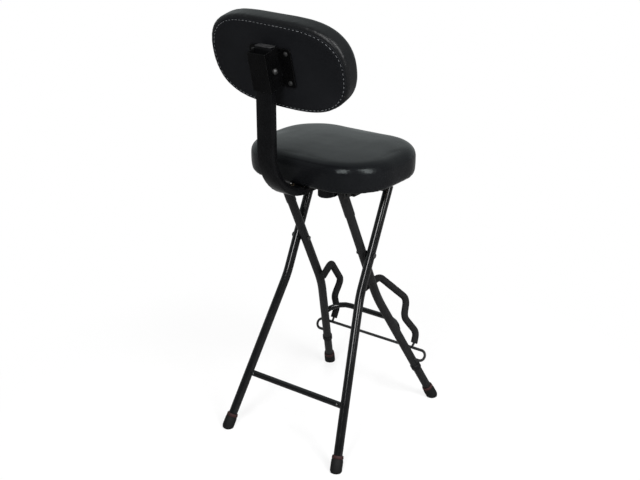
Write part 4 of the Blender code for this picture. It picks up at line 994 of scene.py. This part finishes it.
def make_foam_sleeve(side, sign):
    """A foam sleeve on a cradle arm: open at its lower end, round at its tip."""
    route = foam_route(sign)
    normal = Vector((0, 1, 0))
    stations = []
    final = len(route) - 1
    for index, middle in enumerate(route):
        ahead = (route[min(index + 1, final)] - route[max(index - 1, 0)]).normalized()
        normal = (normal - ahead * normal.dot(ahead)).normalized()
        stations.append((middle, normal.copy(), ahead.cross(normal), ahead))
    first, last = stations[0], stations[-1]
    shell = [
        foam_ring(stations[2], FOAM_BORE),
        foam_ring(first, FOAM_BORE, 0.0003),
        foam_ring(first, FOAM_BORE + 0.0006),
        foam_ring(first, FOAM_RADIUS - 0.0008),
        foam_ring(first, FOAM_RADIUS - 0.0002, 0.0006),
        *(foam_ring(item, FOAM_RADIUS) for item in stations[1:-2]),
    ]
    for angle in FOAM_TIP_ANGLES:
        turn = math.radians(angle)
        shift = -FOAM_RADIUS * FOAM_TIP_SHARE * (1 - math.sin(turn))
        shell.append(foam_ring(last, FOAM_RADIUS * math.cos(turn), shift))
    mesh = bmesh.new()
    skin(mesh, shell)
    sleeve = piece(f"foam_sleeve_{side}", mesh, FINISHES["foam"], "cradle")
    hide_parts(f"cradle_foam_{side}")


# ------------------------------------------------------------------- feet


def make_foot_ring(name, sign, reach_sign, bend, body):
    """The dark red ring moulded round the top of a rubber foot."""
    ground = Vector((sign * FOOT_HALF_WIDTH, reach_sign * FOOT_REACH, 0))
    half_width, height = bend
    high = Vector((sign * half_width, reach_sign * (FOOT_REACH - SLOPE * height), height))
    axis = (high - ground).normalized()
    centre = ground + axis * (FOOT_HEIGHT / axis.z)
    across = axis.cross(Vector((0, 1, 0))).normalized()
    other = axis.cross(across)
    mesh = bmesh.new()
    rings = []
    for k in range(RING_SIDES):
        angle = k / RING_SIDES * 2 * math.pi
        way = across * math.cos(angle) + other * math.sin(angle)
        rings.append([mesh.verts.new(centre + way * r + axis * h) for r, h in RING_PROFILE])
    for k in range(RING_SIDES):
        low, high_ring = rings[k], rings[(k + 1) % RING_SIDES]
        for i in range(len(RING_PROFILE)):
            j = (i + 1) % len(RING_PROFILE)
            mesh.faces.new((low[i], low[j], high_ring[j], high_ring[i]))
    piece(name, mesh, RED_RUBBER, body)


# ------------------------------------------------------------- CAD pieces


def smooth_faces():
    """A node group that joins split points and shades facets as the round forms they stand for."""
    group = bpy.data.node_groups.new("smooth_faces", "GeometryNodeTree")
    group.interface.new_socket("Geometry", in_out="INPUT", socket_type="NodeSocketGeometry")
    group.interface.new_socket("Geometry", in_out="OUTPUT", socket_type="NodeSocketGeometry")
    nodes, links = group.nodes, group.links
    start, end = nodes.new("NodeGroupInput"), nodes.new("NodeGroupOutput")
    drop = nodes.new("GeometryNodeRemoveAttribute")
    drop.inputs["Name"].default_value = "custom_normal"
    weld = nodes.new("GeometryNodeMergeByDistance")
    weld.inputs["Distance"].default_value = WELD_DISTANCE
    angle = nodes.new("GeometryNodeInputMeshEdgeAngle")
    flat = nodes.new("FunctionNodeCompare")
    flat.operation = "LESS_EQUAL"
    flat.inputs[1].default_value = SMOOTH_ANGLE
    faces = nodes.new("GeometryNodeSetShadeSmooth")
    edges = nodes.new("GeometryNodeSetShadeSmooth")
    faces.domain, edges.domain = "FACE", "EDGE"
    links.new(start.outputs[0], drop.inputs["Geometry"])
    links.new(drop.outputs["Geometry"], weld.inputs["Geometry"])
    links.new(weld.outputs["Geometry"], faces.inputs["Geometry"])
    links.new(faces.outputs["Geometry"], edges.inputs["Geometry"])
    links.new(angle.outputs["Unsigned Angle"], flat.inputs[0])
    links.new(flat.outputs["Result"], edges.inputs["Shade Smooth"])
    links.new(edges.outputs["Geometry"], end.inputs[0])
    return group


def dress_nodes():
    """Gives every CAD node its finish and its smooth shading."""
    slots = {}
    for entry in frame["record"].get("materials", []):
        for name in entry.get("nodes", []) or []:
            slots[name] = entry["slot"]
    group = smooth_faces()
    for name, node in NODES.items():
        old = node.data.materials[0].name if node.data.materials else ""
        slot = slots.get(name) or next((s for s in FINISHES if old.startswith(s)), "satin_black")
        node.data.materials.clear()
        node.data.materials.append(NODE_FINISHES.get(name, FINISHES[slot]))
        shade = node.modifiers.new("smooth_faces", "NODES")
        shade.node_group = group


# ------------------------------------------------------------ floor, light


def make_floor_material():
    """A pale floor whose own brightness carries it to white around the stool's soft shadow."""
    material = bpy.data.materials.new("pale_floor")
    material.use_nodes = True
    tree = material.node_tree
    tree.nodes.clear()
    node = functools.partial(add_node, tree)
    path = node("LightPath", {}).outputs
    direct = {0: path["Is Camera Ray"], 1: path["Is Transmission Ray"]}
    seen = node("Math", direct, operation="MAXIMUM")
    place = node("TexCoord", {}).outputs["Object"]
    reach = node("VectorMath", {0: place}, operation="LENGTH").outputs["Value"]
    start, end = SHADOW_REACH
    near = node("MapRange", {0: reach, 1: start, 2: end, 3: SHADOW_SHARE, 4: 0.0}).outputs[0]
    plain = node("BsdfDiffuse", {"Color": (0.8, 0.8, 0.8, 1)})
    glow = node("Emission", {"Color": WHITE, "Strength": 1.0})
    caught = node("BsdfDiffuse", {"Color": (0.97, 0.97, 0.97, 1)})
    blend = node("MixShader", {0: near, 1: glow.outputs[0], 2: caught.outputs[0]})
    mirrored = node("Emission", {"Color": WHITE, "Strength": GLOSSY_FLOOR})
    unseen = {0: path["Is Glossy Ray"], 1: plain.outputs[0], 2: mirrored.outputs[0]}
    other = node("MixShader", unseen)
    final = node("MixShader", {0: seen.outputs[0], 1: other.outputs[0], 2: blend.outputs[0]})
    output = node("OutputMaterial", {})
    tree.links.new(final.outputs[0], output.inputs["Surface"])
    return material


def make_floor():
    mesh = bmesh.new()
    corners = [(-1, -1), (1, -1), (1, 1), (-1, 1)]
    spots = [(x * FLOOR_HALF, y * FLOOR_HALF, -FLOOR_DROP) for x, y in corners]
    mesh.faces.new([mesh.verts.new(spot) for spot in spots])
    data = bpy.data.meshes.new("floor")
    mesh.to_mesh(data)
    mesh.free()
    data.materials.append(make_floor_material())
    floor = bpy.data.objects.new("floor", data)
    bpy.context.scene.collection.objects.link(floor)


def make_world():
    """Plain soft light, and a white backdrop for the camera that gloss sees dimmer."""
    world = bpy.data.worlds.new("studio")
    bpy.context.scene.world = world
    world.use_nodes = True
    tree = world.node_tree
    tree.nodes.clear()
    node = functools.partial(add_node, tree)
    path = node("LightPath", {}).outputs
    way = node("TexCoord", {}).outputs["Generated"]
    beyond = (-math.sin(CAMERA_YAW), math.cos(CAMERA_YAW), 0.25)
    facing = node("VectorMath", {0: way, 1: beyond}, operation="DOT_PRODUCT").outputs["Value"]
    spread = {0: facing, 1: -0.25, 2: 0.75, 3: GLOSS_BEHIND, 4: GLOSS_AHEAD}
    backdrop = node("MapRange", spread, interpolation_type="SMOOTHSTEP").outputs[0]
    shine = {0: path["Is Glossy Ray"], 1: backdrop}
    gloss = node("Math", shine, operation="MULTIPLY").outputs[0]
    direct = {0: path["Is Camera Ray"], 1: path["Is Transmission Ray"]}
    seen = node("Math", direct, operation="MAXIMUM")
    seen = node("Math", {0: seen.outputs[0], 1: gloss}, operation="MAXIMUM").outputs[0]
    sky = {0: path["Is Diffuse Ray"], 1: 0.0, 2: 1.0, 3: 0.0, 4: SKY}
    plain = node("MapRange", sky).outputs[0]
    level = node("Math", {0: seen, 1: plain}, operation="MAXIMUM").outputs[0]
    shade = {0: path["Is Glossy Ray"], 6: WHITE, 7: (*GLOSS_TINT, 1)}
    tint = node("Mix", shade, data_type="RGBA")
    glow = node("Background", {"Color": tint.outputs[2], "Strength": level})
    output = node("OutputWorld", {})
    tree.links.new(glow.outputs[0], output.inputs["Surface"])


def make_lamps():
    for name, (place, aim, width, height, watts) in LAMPS.items():
        data = bpy.data.lights.new(name, "AREA")
        data.shape = "RECTANGLE"
        data.size, data.size_y = width, height
        data.energy = watts
        lamp = bpy.data.objects.new(name, data)
        bpy.context.scene.collection.objects.link(lamp)
        lamp.location = place
        lamp.rotation_euler = (Vector(aim) - Vector(place)).to_track_quat("-Z", "Y").to_euler()
        lamp.visible_glossy = name != FRONT_BOX


def make_camera():
    data = bpy.data.cameras.new("camera")
    data.sensor_width = SENSOR_WIDTH
    data.lens = FOCAL_PIXELS * SENSOR_WIDTH / IMAGE_WIDTH
    data.clip_start, data.clip_end = CAMERA_CLIP
    camera = bpy.data.objects.new("camera", data)
    bpy.context.scene.collection.objects.link(camera)
    flat, steep = math.cos(CAMERA_PITCH), math.sin(CAMERA_PITCH)
    ahead = Vector((-math.sin(CAMERA_YAW) * flat, math.cos(CAMERA_YAW) * flat, -steep))
    level = Vector((math.cos(CAMERA_YAW), math.sin(CAMERA_YAW), 0))
    above = level.cross(ahead)
    right = level * math.cos(CAMERA_ROLL) + above * math.sin(CAMERA_ROLL)
    up = above * math.cos(CAMERA_ROLL) - level * math.sin(CAMERA_ROLL)
    turn = Matrix((right, up, -ahead)).transposed().to_4x4()
    camera.matrix_world = Matrix.Translation(CAMERA_PLACE) @ turn
    bpy.context.scene.camera = camera


def build():
    make_camera()
    make_world()
    make_lamps()
    make_floor()
    dress_nodes()
    make_seat_pad()
    make_seat_staples()
    make_back_pad()
    make_back_cover()
    make_back_stitches()
    for side, sign in (("left", 1), ("right", -1)):
        make_foam_sleeve(side, sign)
        make_foot_ring(f"rear_foot_ring_{side}", sign, 1, REAR_BEND, "rear_frame")
        make_foot_ring(f"front_foot_ring_{side}", sign, -1, FRONT_BEND, "front_frame")
    bpy.context.scene.view_settings.view_transform = "Standard"


build()
